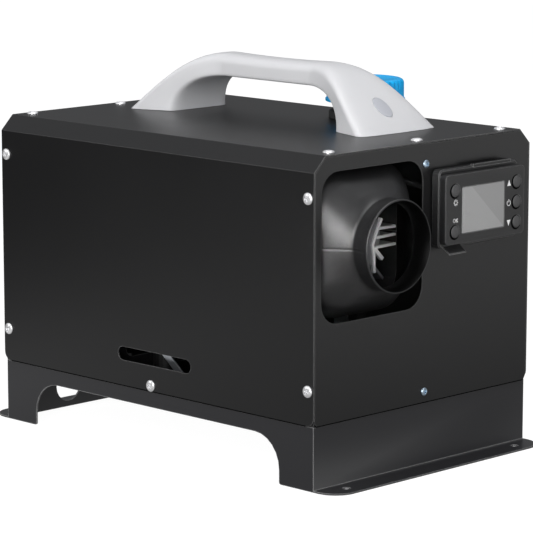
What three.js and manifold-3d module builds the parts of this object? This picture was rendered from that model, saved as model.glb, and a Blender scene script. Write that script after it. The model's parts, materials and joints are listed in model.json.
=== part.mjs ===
// Portable diesel air heater: a folded steel case on a stand, with a carrying handle, a fan-driven
// burner that blows hot air out of a round nozzle, a fuel tank with its metering pump, and a control
// panel. Sizes are in millimetres. +X points out of the nozzle, +Z is up, the stand's feet are at z = 0.

import * as THREE from 'three';
import { mergeVertices } from 'three/addons/utils/BufferGeometryUtils.js';
import Module from 'manifold-3d';

const wasm = await Module();
wasm.setup();

// ---------------------------------------------------------------- driving sizes

const gap = 0.3;                    // clearance between pieces that seat on each other
const through = 5;                  // how far a cutter runs past the wall it cuts

const shell = { length: 385, width: 265, height: 220, chamfer: 13, sheet: 1.2, cornerRadius: 8 };
const panel = { returnDepth: 15, cornerRadius: 5 };
const floor = { lip: 16, ventLength: 50, ventWidth: 6, ventPitch: 16, ventCount: 4, ventStart: 50 };
const stand = {
  height: 54, sheet: 1.5, inset: 1.5, rim: 15, legWidth: 39, bandDepth: 14, archRadius: 28, toeRadius: 2,
  footReach: 27, footCorner: 20, holeRadius: 3.5, holeFromEdge: 13, holeFromSide: 26,
  portRadius: 14.6, portY: -60, portZ: 20,
};
const slot = { x: 4, z: 28.5, length: 90.7, width: 11.8 };              // z above the floor
const outletOpening = { marginY: 2.75, marginZ: 1, radius: 18.5, rise: 0.5 };
const intake = { slots: 9, pitch: 10, width: 5, length: 92 };
const gland = { y: 60, z: 36, radius: 10, flange: 14, bore: 4.5 };      // z above the floor

const handle = {
  x: -6, y: 30, footInner: 99, footOuter: 147, clearHeight: 33, height: 54.5, flatHalf: 58,
  gripHalfWidth: 18, footInnerHalf: 33.5, footOuterHalf: 44, endBulge: 5,
  boltX: 122, boltRadius: 3, boltHeadRadius: 6, boltReach: 11, nutRadius: 5.8, nutHeight: 5,
  shoulder: 7, plugAcross: 8, plugAlong: 11.5, plugThick: 3,
};

const control = {
  y: 56.6, z: 163.1, width: 100.4, height: 58.6, radius: 4, face: 16.5, bezelDepth: 7, bezelWall: 2,
};
const holder = {
  width: 99.8, height: 66.6, radius: 5, depth: 9, wall: 3, tabY: -45, tabWidth: 21, tabReach: 7.5,
};
const screen = { y: -2.6, z: -1.6, width: 54, height: 39, lip: 1, lipThick: 1.3 };
const button = {
  radius: 5.25, proud: 1.3, travel: 1, left: -37.8, right: 40.4, z: -1.4, pitch: 17.2, stem: 2, flange: 0.9,
  flangeThick: 1.3,
};
const board = { width: 90, height: 50, thick: 1.6, back: 4.6 };

const heater = {
  sideGap: 10.1, roofGap: 15.5, rearGap: 54.5, width: 115, height: 122, radius: 30, wall: 2, grilleDepth: 14,
};
const nozzle = {
  radius: 37.5, length: 15, proud: 29.5, wall: 2.5, bead: 1.2, beadWidth: 3, hoodLength: 53.7,
};
const fan = { radius: 49, hubRadius: 16, width: 22, blades: 9, bladeThick: 1.8, rearPlay: 6.1, standoff: 4 };
const motor = { radius: 21, length: 44, shaftRadius: 3 };
const chamber = { length: 26, wall: 4, play: 2, plateThick: 4 };
const impeller = { radius: 30, width: 16, vanes: 10, hubRadius: 7 };
const exchanger = {
  coreRadius: 33, boreRadius: 28, endWall: 20, overrun: 1.7, footLength: 58,
  finPlayY: 6.8, finPlayZ: 7.3, finPitch: 7.6, finThick: 2.4, finOffset: -1.7, finReach: 20,
};
const burner = { radius: 24, wall: 1.2, length: 110 };
const plug = { x: 13, seat: 41, bossRadius: 9, radius: 5, tip: 2.2, headRadius: 8 };   // x from the burner
const ports = {
  exhaustX: 35, fuelX: 9, y: -6, fuelY: 2, radius: 12, intakeRadius: 11.2, wall: 1.2, below: 10,
};
const casting = { y0: -32, y1: 22, fuelDrop: 12 };
const bench = {
  back: 10, front: 8, sheet: 1.5, y0: -51, y1: 50, gasket: 3, toe: 14, strapWidth: 7, margin: 22,
};
const brain = { width: 54, height: 18 };

const tank = {
  x: -5, sideGap: 3.8, roofGap: 18.5, length: 226, width: 114, radius: 14, edge: 8, wall: 3,
};
const neck = { x: 50, y: 13.5, radius: 27.5, wall: 4, top: 29.5 };      // from the tank's centre and the roof
const cap = { height: 20, side: 5.3, top: 3.4, skirt: 1, ribs: 28, ribDepth: 0.9, threadPlay: 1.2, rise: 8 };
const collar = { seat: 2, lip: 4.5, height: 7 };                        // seat and lip outside the neck
const strap = { rearX: -80, pastNeck: 12.5, width: 16, thick: 1.5, foot: 13 };
const outlet = { x: 65, z: 14, length: 16 };                            // from the tank's centre and bottom
const pump = { fromFront: 95.5, y: -60, z: 42, radius: 15, bodyLength: 58, length: 110, clamp: 4 };
const filter = { fromFront: 74.5, y: -24, z: 18, radius: 11, length: 44 };
const hose = { radius: 3, sides: 6 };
const lead = { radius: 2.5, sides: 6 };

// ---------------------------------------------------------------- places worked out from the sizes

const floorZ = stand.height;
const roofZ = floorZ + shell.height;
const halfLength = shell.length / 2;
const halfWidth = shell.width / 2;
const floorTop = floorZ + shell.sheet;
const footX = halfLength - stand.inset - stand.sheet + stand.footReach;

const heaterY = -(halfWidth - shell.sheet - heater.sideGap - heater.width / 2);
const heaterZ = roofZ - heater.roofGap - heater.height / 2;
const heaterBottom = heaterZ - heater.height / 2;

// Along the heater unit, from the grille at the rear to the nozzle at the front.
const nozzleTip = halfLength + nozzle.proud;
const hoodStart = nozzleTip - nozzle.hoodLength;
const jacketStart = -halfLength + heater.rearGap;
const jacketEnd = hoodStart - gap;
const fanBack = jacketStart + fan.rearPlay;
const fanFront = fanBack + fan.width;
const motorBack = fanFront + fan.standoff;
const motorFront = motorBack + motor.length;
const chamberBack = motorFront + gap;
const chamberFront = chamberBack + chamber.length;
const plateBack = chamberFront + gap;
const plateFront = plateBack + chamber.plateThick;
const coreStart = plateFront + gap;
const coreEnd = hoodStart + exchanger.overrun;
const castingFront = coreStart + 1 + exchanger.footLength;
const exhaustX = coreStart + ports.exhaustX;
const intakeX = (chamberBack + chamberFront) / 2;
const fuelX = coreStart + ports.fuelX;
const mouthRadius = fan.radius + 2;

const tankY = halfWidth - shell.sheet - tank.sideGap - tank.width / 2;
const tankBottom = floorTop + gap;
const tankTop = roofZ - tank.roofGap;
const [neckX, neckY] = [tank.x + neck.x, tankY + neck.y];
const neckTop = roofZ + neck.top;
const strapPlaces = [strap.rearX, neckX + neck.radius + strap.pastNeck];
const capRadius = neck.radius + cap.threadPlay + cap.side;
const capBottom = roofZ + collar.height + cap.rise;
const capTop = capBottom + cap.height;
const pumpX = halfLength - pump.fromFront;
const filterX = halfLength - filter.fromFront;

// ---------------------------------------------------------------- outlines

const V2 = (x, y) => new THREE.Vector2(x, y);
const V3 = (x, y, z) => new THREE.Vector3(x, y, z);
const quarter = Math.PI / 2;

const arc = (cx, cy, r, from, to, steps) =>
  Array.from({ length: steps + 1 }, (_, i) => {
    const a = from + ((to - from) * i) / steps;
    return V2(cx + r * Math.cos(a), cy + r * Math.sin(a));
  });

const circle = (r, sides = 24, cx = 0, cy = 0) => arc(cx, cy, r, 0, 2 * Math.PI, sides).slice(0, -1);

const oval = (a, b, sides) => circle(1, sides).map((p) => V2(a * p.x, b * p.y));

function roundedRectangle(width, height, r, cx = 0, cy = 0, steps = 4) {
  const [x, y] = [width / 2 - r, height / 2 - r];
  return [
    ...arc(cx + x, cy + y, r, 0, quarter, steps),
    ...arc(cx - x, cy + y, r, quarter, 2 * quarter, steps),
    ...arc(cx - x, cy - y, r, 2 * quarter, 3 * quarter, steps),
    ...arc(cx + x, cy - y, r, 3 * quarter, 4 * quarter, steps),
  ];
}

function slotOutline(length, width, cx = 0, cy = 0, steps = 6) {
  const x = (length - width) / 2;
  return [
    ...arc(cx + x, cy, width / 2, -quarter, quarter, steps),
    ...arc(cx - x, cy, width / 2, quarter, 3 * quarter, steps),
  ];
}

// The case seen along its length: straight sides, a flat roof and 45 degree corners, inset by a sheet.
function caseOutline(inset, bottom) {
  const [w, top] = [halfWidth - inset, roofZ - inset];
  const c = shell.chamfer - inset * (2 - Math.SQRT2);
  return [V2(-w, bottom), V2(w, bottom), V2(w, top - c), V2(w - c, top), V2(c - w, top), V2(-w, top - c)];
}

// ---------------------------------------------------------------- solids

// A closed geometry as a solid: its shared corners are merged and its empty triangles dropped.
function solidOf(geometry) {
  const bare = geometry.clone();
  bare.deleteAttribute('normal');
  bare.deleteAttribute('uv');
  const merged = mergeVertices(bare, 1e-4);
  const index = merged.index.array;
  const triangles = [];
  for (let i = 0; i < index.length; i += 3) {
    const [a, b, c] = [index[i], index[i + 1], index[i + 2]];
    if (a !== b && b !== c && c !== a) triangles.push(a, b, c);
  }
  return new wasm.Manifold(new wasm.Mesh({
    numProp: 3,
    vertProperties: Float32Array.from(merged.attributes.position.array),
    triVerts: Uint32Array.from(triangles),
  }));
}

function geometryOf(solid) {
  const mesh = solid.getMesh();
  const geometry = new THREE.BufferGeometry();
  geometry.setAttribute('position', new THREE.BufferAttribute(mesh.vertProperties, 3));
  geometry.setIndex(new THREE.BufferAttribute(mesh.triVerts, 1));
  geometry.computeVertexNormals();
  return geometry;
}

const cut = (body, ...tools) => tools.reduce((solid, tool) => solid.subtract(tool), body);
const join = (body, ...others) => others.reduce((solid, other) => solid.add(other), body);

function block(x0, x1, y0, y1, z0, z1) {
  const box = new THREE.BoxGeometry(x1 - x0, y1 - y0, z1 - z0);
  return solidOf(box.translate((x0 + x1) / 2, (y0 + y1) / 2, (z0 + z1) / 2));
}

// An outline given as (y, z), (x, z) or (x, y) points, extruded along the third axis.
const alongX = new THREE.Matrix4().makeBasis(V3(0, 1, 0), V3(0, 0, 1), V3(1, 0, 0));
const alongY = new THREE.Matrix4().makeBasis(V3(-1, 0, 0), V3(0, 0, 1), V3(0, 1, 0));
const alongZ = new THREE.Matrix4();

function extruded(outline, from, to, axis, round = 0, holes = []) {
  const profile = new THREE.Shape(outline);
  profile.holes = holes.map((points) => new THREE.Path(points));
  const settings = {
    depth: to - from - 2 * round, steps: 1, bevelEnabled: round > 0,
    bevelThickness: round, bevelSize: round, bevelOffset: -round, bevelSegments: round > 3 ? 2 : 1,
  };
  return new THREE.ExtrudeGeometry(profile, settings).translate(0, 0, from + round).applyMatrix4(axis);
}

const prismX = (outline, from, to, round, holes) =>
  solidOf(extruded(outline, from, to, alongX, round, holes));
const prismZ = (outline, from, to, round, holes) =>
  solidOf(extruded(outline, from, to, alongZ, round, holes));
const prismY = (outline, from, to, round, holes) =>
  solidOf(extruded(outline.map((p) => V2(-p.x, p.y)).reverse(), from, to, alongY, round, holes));

// A profile of [along, radius] points turned about an axis through the origin; it closes on itself.
const latheToZ = new THREE.Matrix4().makeRotationX(quarter);
const latheToX = new THREE.Matrix4().makeBasis(V3(0, 1, 0), V3(1, 0, 0), V3(0, 0, -1));
const latheToMinusY = new THREE.Matrix4().makeBasis(V3(1, 0, 0), V3(0, -1, 0), V3(0, 0, -1));

function turned(profile, axis, sides = 24) {
  const points = [...profile, profile[0]].map(([along, radius]) => V2(radius, along));
  const solid = solidOf(new THREE.LatheGeometry(points, sides).applyMatrix4(axis));
  return solid.volume() < 0 ? turned([...profile].reverse(), axis, sides) : solid;
}

const rod = (along0, along1, r, axis, sides) =>
  turned([[along0, 0], [along0, r], [along1, r], [along1, 0]], axis, sides);
const ring = (along0, along1, inner, outer, axis, sides) =>
  turned([[along0, inner], [along0, outer], [along1, outer], [along1, inner]], axis, sides);

// A skin over rings of equal point count, closed by a fan at each end.
function lofted(rings) {
  const n = rings[0].length;
  const points = rings.flat();
  const index = [];
  for (let r = 0; r < rings.length - 1; r += 1) {
    for (let k = 0; k < n; k += 1) {
      const [a, b] = [r * n + k, r * n + ((k + 1) % n)];
      index.push(a, b, b + n, a, b + n, a + n);
    }
  }
  const middle = (ringPoints) => ringPoints.reduce((sum, p) => sum.add(p), V3(0, 0, 0)).divideScalar(n);
  points.push(middle(rings[0]), middle(rings[rings.length - 1]));
  const last = (rings.length - 1) * n;
  for (let k = 0; k < n; k += 1) {
    index.push(points.length - 2, (k + 1) % n, k);
    index.push(points.length - 1, last + k, last + ((k + 1) % n));
  }
  const geometry = new THREE.BufferGeometry().setFromPoints(points);
  geometry.setIndex(index);
  return solidOf(geometry);
}

function tubeAlong(points, radius, sides, steps) {
  const path = new THREE.CatmullRomCurve3(points, false, 'centripetal');
  const section = new THREE.Shape(circle(radius, sides));
  return solidOf(new THREE.ExtrudeGeometry(section, { steps, extrudePath: path, bevelEnabled: false }));
}

// ---------------------------------------------------------------- finishes and pieces

const finish = (color, roughness, metalness = 0) => ({ color, roughness, metalness });
const blackPaint = finish(0x2b2b2c, 0.45, 0.1);
const greyPaint = finish(0x4a4a4f, 0.5, 0.1);
const lightGreyPlastic = finish(0xdededf, 0.5);
const plugPlastic = finish(0xc4c4ca, 0.55);
const blackPlastic = finish(0x1c1c1d, 0.4);
const satinBlackPlastic = finish(0x18181a, 0.3);
const keyRubber = finish(0x3a3a3b, 0.7);
const rubber = finish(0x141414, 0.85);
const displayGlass = finish(0x9a9a9a, 0.15);
const displayGrey = finish(0x6c706c, 0.5);
const boardGreen = finish(0x1f5a35, 0.5);
const tankPlastic = finish(0xe6e5de, 0.45);
const bluePlastic = finish(0x0a94dc, 0.4);
const clearPlastic = finish(0xe9eef0, 0.2);
const hoseGreen = finish(0x3c8f4a, 0.5);
const castAluminium = finish(0xb5b7b9, 0.5, 0.8);
const zinc = finish(0xc3c7cc, 0.35, 0.9);
const stainless = finish(0xa9a6a0, 0.35, 0.9);
const fanPlastic = finish(0x26282b, 0.5);

function piece(name, solid, look) {
  const mesh = new THREE.Mesh(geometryOf(solid), new THREE.MeshStandardMaterial(look));
  mesh.name = name;
  return mesh;
}

function group(x, y, z, ...children) {
  const holderGroup = new THREE.Group();
  holderGroup.position.set(x, y, z);
  holderGroup.add(...children);
  return holderGroup;
}

// ---------------------------------------------------------------- case

// One sheet bent over the roof and both long sides, open below and at both ends.
function topCover() {
  const outer = prismX(caseOutline(0, floorZ), -halfLength, halfLength);
  const inner = prismX(
    caseOutline(shell.sheet, floorZ - through), -halfLength - through, halfLength + through,
  );
  const [x, z, r] = [halfLength, floorZ, shell.cornerRadius];
  const side = [
    V2(x, roofZ), V2(-x, roofZ),
    ...arc(-x + r, z + r, r, 2 * quarter, 3 * quarter, 5),
    ...arc(x - r, z + r, r, 3 * quarter, 4 * quarter, 5),
  ];
  const trimmed = cut(outer, inner).intersect(prismY(side, -halfWidth, halfWidth));
  const vent = prismY(
    slotOutline(slot.length, slot.width, slot.x, floorZ + slot.z), -halfWidth - through, -halfWidth + through,
  );
  const neckHole = prismZ(
    circle(neck.radius + collar.seat + gap, 28, neckX, neckY), roofZ - through, roofZ + through,
  );
  const boltHoles = [-1, 1].map((end) => prismZ(
    circle(handle.boltRadius + gap, 12, handle.x + end * handle.boltX, handle.y),
    roofZ - through, roofZ + through,
  ));
  return cut(trimmed, vent, neckHole, ...boltHoles);
}

// A shallow pan that closes one end, bent inwards at the sides, the corners and the roof.
function endPanel(...cutters) {
  const outline = caseOutline(shell.sheet + gap, floorZ);
  const [w, r] = [halfWidth - shell.sheet - gap, panel.cornerRadius];
  const corners = [
    ...arc(-w + r, floorZ + r, r, 2 * quarter, 3 * quarter, 4),
    ...arc(w - r, floorZ + r, r, 3 * quarter, 4 * quarter, 4),
    ...outline.slice(2),
  ];
  const back = halfLength - panel.returnDepth;
  const front = halfLength - shell.sheet;
  const hollow = prismX(caseOutline(2 * shell.sheet + gap, floorZ - through), back - through, front);
  const belowReturns = block(back - through, front, -halfWidth, halfWidth, 0, floorZ + floor.lip + 2);
  return cut(prismX(corners, back, halfLength), hollow, belowReturns, ...cutters);
}

function frontPanel() {
  const [w, h] = [heater.width + 2 * outletOpening.marginY, heater.height + 2 * outletOpening.marginZ];
  const opening = prismX(
    roundedRectangle(w, h, outletOpening.radius, heaterY, heaterZ + outletOpening.rise, 6),
    halfLength - through, halfLength + through,
  );
  const leadHole = prismX(
    circle(lead.radius + 1.5, 12, control.y, floorZ + control.z), halfLength - through, halfLength + through,
  );
  return endPanel(opening, leadHole);
}

// The rear panel is drawn like the front one and turned half round, so its y runs the other way.
function rearPanel() {
  const slots = Array.from({ length: intake.slots }, (_, i) => {
    const z = heaterZ + (i - (intake.slots - 1) / 2) * intake.pitch;
    const outline = slotOutline(intake.length, intake.width, -heaterY, z, 3);
    return prismX(outline, halfLength - through, halfLength + through);
  });
  const glandHole = prismX(
    circle(gland.radius + gap, 16, -gland.y, floorZ + gland.z), halfLength - through, halfLength + through,
  );
  return endPanel(...slots, glandHole);
}

// The floor of the case: a tray with a lip that the cover and both end panels screw to.
function floorPan() {
  const [x, y] = [halfLength - shell.sheet - gap, halfWidth - shell.sheet - gap];
  const t = shell.sheet;
  const tray = cut(
    block(-x, x, -y, y, floorZ, floorZ + floor.lip),
    block(-x + t, x - t, -y + t, y - t, floorTop, floorZ + floor.lip + through),
  );
  const pipeHoles = [[exhaustX, ports.radius], [intakeX, ports.intakeRadius]].map(([px, r]) => prismZ(
    circle(r + 1.5, 20, px, heaterY + ports.y), floorZ - through, floorTop + through,
  ));
  const firstVent = halfLength - floor.ventStart;
  const vents = Array.from({ length: floor.ventCount }, (_, i) => prismZ(
    slotOutline(floor.ventLength, floor.ventWidth, heaterY, firstVent - i * floor.ventPitch, 3)
      .map((p) => V2(-p.y, p.x)), floorZ - through, floorTop + through,
  ));
  return cut(tray, ...pipeHoles, ...vents);
}

// The stand: four folded walls with arched sides and a foot flange turned out at each end.
function baseFrame() {
  const [x, y, top, t] = [halfLength - stand.inset, halfWidth - stand.inset, floorZ - gap, stand.sheet];
  const walls = cut(
    block(-x, x, -y, y, 0, top),
    block(-x + t, x - t, -y + t, y - t, -through, top - t),
    block(-x + stand.rim, x - stand.rim, -y + stand.rim, y - stand.rim, 0, top + through),
  );
  const [leg, r, toe] = [x - stand.legWidth, stand.archRadius, stand.toeRadius];
  const crown = floorZ - stand.bandDepth;
  const arch = [
    V2(-leg - toe, -through), ...arc(-leg - toe, toe, toe, -quarter, 0, 3),
    ...arc(-leg + r, crown - r, r, 2 * quarter, quarter, 6),
    ...arc(leg - r, crown - r, r, quarter, 0, 6),
    ...arc(leg + toe, toe, toe, 2 * quarter, 3 * quarter, 3), V2(leg + toe, -through),
  ].reverse();
  const corner = stand.footCorner;
  const foot = prismZ([
    V2(x - t, -y), ...arc(footX - corner, -y + corner, corner, -quarter, 0, 6),
    ...arc(footX - corner, y - corner, corner, 0, quarter, 6), V2(x - t, y),
  ], 0, t);
  const otherFoot = prismZ([
    V2(t - x, y), ...arc(corner - footX, y - corner, corner, quarter, 2 * quarter, 6),
    ...arc(corner - footX, -y + corner, corner, 2 * quarter, 3 * quarter, 6), V2(t - x, -y),
  ], 0, t);
  const footHoles = [[1, 1], [1, -1], [-1, 1], [-1, -1]].map(([sx, sy]) => prismZ(
    circle(stand.holeRadius, 10, sx * (footX - stand.holeFromEdge), sy * (y - stand.holeFromSide)), -1, t + 1,
  ));
  const port = prismX(circle(stand.portRadius, 20, stand.portY, stand.portZ), -x - through, -x + through);
  const arched = walls.subtract(prismY(arch, -y - through, y + through));
  return cut(join(arched, foot, otherFoot), ...footHoles, port);
}

// A ring that lines a round hole in a sheet, with a wider flange on its outer side.
function powerGland() {
  return turned([
    [-4, gland.bore], [-4, gland.radius - 0.6], [-shell.sheet, gland.radius], [gap, gland.radius],
    [gap, gland.flange], [2.5, gland.flange - 0.5], [5, gland.bore + 3.5], [5, gland.bore],
  ], latheToX, 14);
}

function caseParts() {
  const rear = piece('rear_panel', rearPanel(), blackPaint);
  rear.rotation.z = Math.PI;
  const glandPiece = piece('power_gland', powerGland(), rubber);
  glandPiece.position.set(-halfLength, gland.y, floorZ + gland.z);
  glandPiece.rotation.z = Math.PI;
  return [
    piece('top_cover', topCover(), blackPaint),
    piece('front_panel', frontPanel(), blackPaint),
    rear,
    piece('floor_pan', floorPan(), blackPaint),
    piece('base_frame', baseFrame(), greyPaint),
    glandPiece,
  ];
}

// ---------------------------------------------------------------- handle, on its own centre at the roof

const innerCurve = new THREE.CubicBezierCurve(
  V2(handle.footInner, gap), V2(handle.footInner - 1, handle.clearHeight * 0.92),
  V2(handle.footInner - 11, handle.clearHeight), V2(handle.flatHalf, handle.clearHeight),
);
const outerCurve = new THREE.CubicBezierCurve(
  V2(handle.footOuter, gap), V2(handle.footOuter - 24, handle.height * 0.58),
  V2(handle.footOuter - 48, handle.height * 0.98), V2(handle.flatHalf, handle.height),
);

// A section of the handle: a rounded four-sided ring between an inner and an outer edge point.
function handleRing(side, t) {
  const [inner, outer] = [innerCurve.getPoint(t), outerCurve.getPoint(t)];
  const spread = (1 - t) ** 1.6;
  const halfIn = handle.gripHalfWidth + (handle.footInnerHalf - handle.gripHalfWidth) * spread;
  const halfOut = handle.gripHalfWidth + (handle.footOuterHalf - handle.gripHalfWidth) * spread;
  const power = 2 / (2.5 + 3.5 * spread);
  return circle(1, 16).map((p) => {
    const across = Math.sign(p.x) * Math.abs(p.x) ** power;
    const out = (Math.sign(p.y) * Math.abs(p.y) ** power + 1) / 2;
    const bulge = handle.endBulge * spread * out * across * across;
    const place = inner.clone().lerp(outer, out);
    return V3(side * (place.x - bulge), across * (halfIn + (halfOut - halfIn) * out), place.y);
  });
}

// The oval pocket on each end slope, square to the slope, that hides a bolt head.
const slopePoint = () => {
  const t = 0.27;
  const at = outerCurve.getPoint(t);
  const along = outerCurve.getTangent(t);
  return { at, tilt: Math.atan2(-along.x, along.y) };
};

function slopeOval(side, across, along, from, to) {
  const { at, tilt } = slopePoint();
  const oriented = new THREE.Matrix4().makeTranslation(side * at.x, 0, at.y)
    .multiply(new THREE.Matrix4().makeRotationY(side * (quarter - tilt)));
  return solidOf(extruded(oval(along, across, 16), from, to, alongZ).applyMatrix4(oriented));
}

function handleSolid() {
  const steps = 8;
  const half = (side) => Array.from({ length: steps + 1 }, (_, i) => handleRing(side, i / steps));
  const arch = lofted([...half(-1), ...half(1).reverse()]);
  const cutters = [-1, 1].flatMap((side) => [
    slopeOval(side, handle.plugAcross + gap, handle.plugAlong + gap, -handle.plugThick - gap, 20),
    solidOf(extruded(circle(handle.boltHeadRadius + 0.6, 14, side * handle.boltX, 0), handle.shoulder,
      slopePoint().at.y, alongZ)),
    solidOf(extruded(circle(handle.boltRadius + gap, 12, side * handle.boltX, 0), -through, 20, alongZ)),
  ]);
  return cut(arch, ...cutters);
}

// The bolt drops through the foot and the roof; its nut pulls up against the roof's underside.
function handleBolt() {
  const end = -shell.sheet - handle.boltReach;
  return join(
    rod(handle.shoulder + gap, handle.shoulder + 4, handle.boltHeadRadius, latheToZ, 14),
    rod(end, handle.shoulder + 2, handle.boltRadius, latheToZ, 12),
  );
}

function handleNut() {
  const top = -shell.sheet - gap;
  const bore = circle(handle.boltRadius + gap, 12);
  return prismZ(circle(handle.nutRadius, 6), top - handle.nutHeight, top, 0, [bore]);
}

function handleParts() {
  const ends = [['front', 1], ['rear', -1]].flatMap(([name, side]) => {
    const plug = piece(`handle_plug_${name}`, slopeOval(side, handle.plugAcross, handle.plugAlong,
      -handle.plugThick, 0.5), plugPlastic);
    const bolt = piece(`handle_bolt_${name}`, handleBolt(), zinc);
    const nut = piece(`handle_nut_${name}`, handleNut(), zinc);
    bolt.position.x = side * handle.boltX;
    nut.position.x = side * handle.boltX;
    return [plug, bolt, nut];
  });
  return group(handle.x, handle.y, roofZ, piece('handle', handleSolid(), lightGreyPlastic), ...ends);
}

// ---------------------------------------------------------------- control panel, about its own centre

const bezelBack = control.face - control.bezelDepth;
const bezelInside = control.face - control.bezelWall;

const buttons = {
  button_up: [button.right, button.z + button.pitch],
  button_power: [button.right, button.z],
  button_down: [button.right, button.z - button.pitch],
  button_settings: [button.left, button.z + button.pitch],
  button_ok: [button.left, button.z - button.pitch],
};

// The holder clips the control panel to the case; a thumb tab below it lets the panel go.
function panelHolder() {
  const pocket = prismX(
    roundedRectangle(holder.width - 2 * holder.wall, control.height - 2, 3), 2, holder.depth + through,
  );
  const body = prismX(roundedRectangle(holder.width, holder.height, holder.radius), gap, holder.depth, 1.2);
  const leadHole = prismX(circle(lead.radius + 1.5, 12), -through, 4);
  const bottom = -holder.height / 2;
  const [y0, y1] = [holder.tabY, holder.tabY + holder.tabWidth];
  const tab = solidOf(extruded([
    V2(2, bottom + 2), V2(holder.depth, bottom + 1), V2(holder.depth + holder.tabReach, bottom - 1.6),
    V2(holder.depth + holder.tabReach, bottom - 0.4), V2(holder.depth, bottom + 2.4), V2(2, bottom + 3),
  ].map((p) => V2(-p.x, p.y)).reverse(), y0, y1, alongY));
  const catchRail = block(holder.depth - 3, holder.depth + 0.6, -8, 40, -bottom - 1.5, -bottom + 1.2);
  return cut(join(body, tab, catchRail), pocket, leadHole);
}

function controllerCase() {
  const [w, h] = [holder.width - 2 * holder.wall - 2 * gap, control.height - 2 - 2 * gap];
  const back = 2 + gap;
  const front = bezelBack - gap;
  const wall = 1.6;
  const body = cut(
    prismX(roundedRectangle(w, h, 2.7), back, front),
    prismX(roundedRectangle(w - 2 * wall, h - 2 * wall, 1.5), back + 1.2, front + through),
    prismX(circle(lead.radius + gap, 12), -through, back + 3),
  );
  const posts = [[1, 1], [1, -1], [-1, 1], [-1, -1]].map(([sy, sz]) => prismX(
    circle(2.5, 8, sy * (board.width / 2 - 4), sz * (board.height / 2 - 4)), back + 1, board.back - gap,
  ));
  return join(body, ...posts);
}

function controllerBezel() {
  const body = prismX(
    roundedRectangle(control.width, control.height, control.radius), bezelBack, control.face, 1.2,
  );
  const hollow = prismX(
    roundedRectangle(control.width - 5, control.height - 5, 2.5), bezelBack - through, bezelInside,
  );
  const sight = prismX(
    roundedRectangle(screen.width, screen.height, 1, screen.y, screen.z, 2),
    bezelBack, control.face + through,
  );
  const keyHoles = Object.values(buttons).map(([y, z]) => prismX(
    circle(button.radius + gap, 12, y, z), bezelBack, control.face + through,
  ));
  return cut(body, hollow, sight, ...keyHoles);
}

function displayWindow() {
  const [lipWidth, lipHeight] = [screen.width + 2 * screen.lip, screen.height + 2 * screen.lip];
  const pane = prismX(
    roundedRectangle(screen.width - 2 * gap, screen.height - 2 * gap, 0.8, screen.y, screen.z, 2),
    bezelInside - 1, control.face - gap,
  );
  const lip = prismX(
    roundedRectangle(lipWidth, lipHeight, 1.5, screen.y, screen.z, 2),
    bezelInside - gap - screen.lipThick, bezelInside - gap,
  );
  return join(pane, lip);
}

function displayModule() {
  return prismX(
    roundedRectangle(screen.width + screen.lip, screen.height + screen.lip, 1, screen.y, screen.z, 2),
    board.back + board.thick + gap, bezelInside - screen.lipThick - 2 * gap,
  );
}

function controllerBoard() {
  return prismX(roundedRectangle(board.width, board.height, 2), board.back, board.back + board.thick);
}

// A domed key with a flange that holds it in the bezel and a stem that meets its switch.
function buttonKey() {
  const { radius, stem } = button;
  const stemEnd = board.back + board.thick + button.travel + gap;
  const flangeFront = bezelInside - gap;
  const flangeBack = flangeFront - button.flangeThick;
  const flangeRadius = radius + button.flange;
  const top = control.face + button.proud;
  return turned([
    [stemEnd, 0], [stemEnd, stem], [flangeBack, stem], [flangeBack, flangeRadius],
    [flangeFront, flangeRadius], [flangeFront, radius], [top - 0.7, radius], [top - 0.2, radius - 0.9],
    [top, 0],
  ], latheToX, 12);
}

function controlParts() {
  const keys = Object.entries(buttons).map(([name, [y, z]]) => {
    const key = piece(name, buttonKey(), keyRubber);
    key.position.set(0, y, z);
    return key;
  });
  return group(
    halfLength, control.y, floorZ + control.z,
    piece('controller_holder', panelHolder(), blackPlastic),
    piece('controller_case', controllerCase(), blackPlastic),
    piece('controller_bezel', controllerBezel(), blackPlastic),
    piece('display_window', displayWindow(), displayGlass),
    piece('display_module', displayModule(), displayGrey),
    piece('controller_board', controllerBoard(), boardGreen),
    ...keys,
  );
}

// ---------------------------------------------------------------- fuel tank and cap

function fuelTank() {
  const outline = (inset) => roundedRectangle(
    tank.length - 2 * inset, tank.width - 2 * inset, tank.radius - inset, tank.x, tankY, 3,
  );
  const outer = prismZ(outline(0), tankBottom, tankTop, tank.edge);
  const inner = prismZ(
    outline(tank.wall), tankBottom + tank.wall, tankTop - tank.wall, tank.edge - tank.wall,
  );
  const place = new THREE.Matrix4().makeTranslation(neckX, neckY, 0).multiply(latheToZ);
  const spout = rod(tankTop - 2, neckTop, neck.radius, place, 24);
  const bore = rod(tankTop - tank.wall - 1, neckTop + through, neck.radius - neck.wall, place, 24);
  return cut(join(outer, spout), inner, bore);
}

// The fuel cap: a ribbed cup with a small skirt, drawn about the neck's axis.
function fuelCap() {
  const ribbed = Array.from({ length: cap.ribs * 2 }, (_, i) => {
    const a = (i * Math.PI) / cap.ribs;
    const r = capRadius - (i % 2) * cap.ribDepth;
    return V2(r * Math.cos(a), r * Math.sin(a));
  });
  const body = prismZ(ribbed, capBottom + 3, capTop - 1.5);
  const crown = rod(capTop - 1.6, capTop, capRadius - 1.5, latheToZ, 28);
  const skirt = rod(capBottom, capBottom + 3.1, capRadius + cap.skirt, latheToZ, 28);
  const hollow = rod(capBottom - through, capTop - cap.top, neck.radius + cap.threadPlay, latheToZ, 20);
  const ventHole = rod(0, capTop - 1.5, 4 + gap, latheToZ, 12);
  return cut(join(body, crown, skirt), hollow, ventHole);
}

function capSeal() {
  return ring(neckTop + gap, capTop - cap.top - gap, neck.radius - neck.wall, neck.radius, latheToZ, 20);
}

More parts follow.
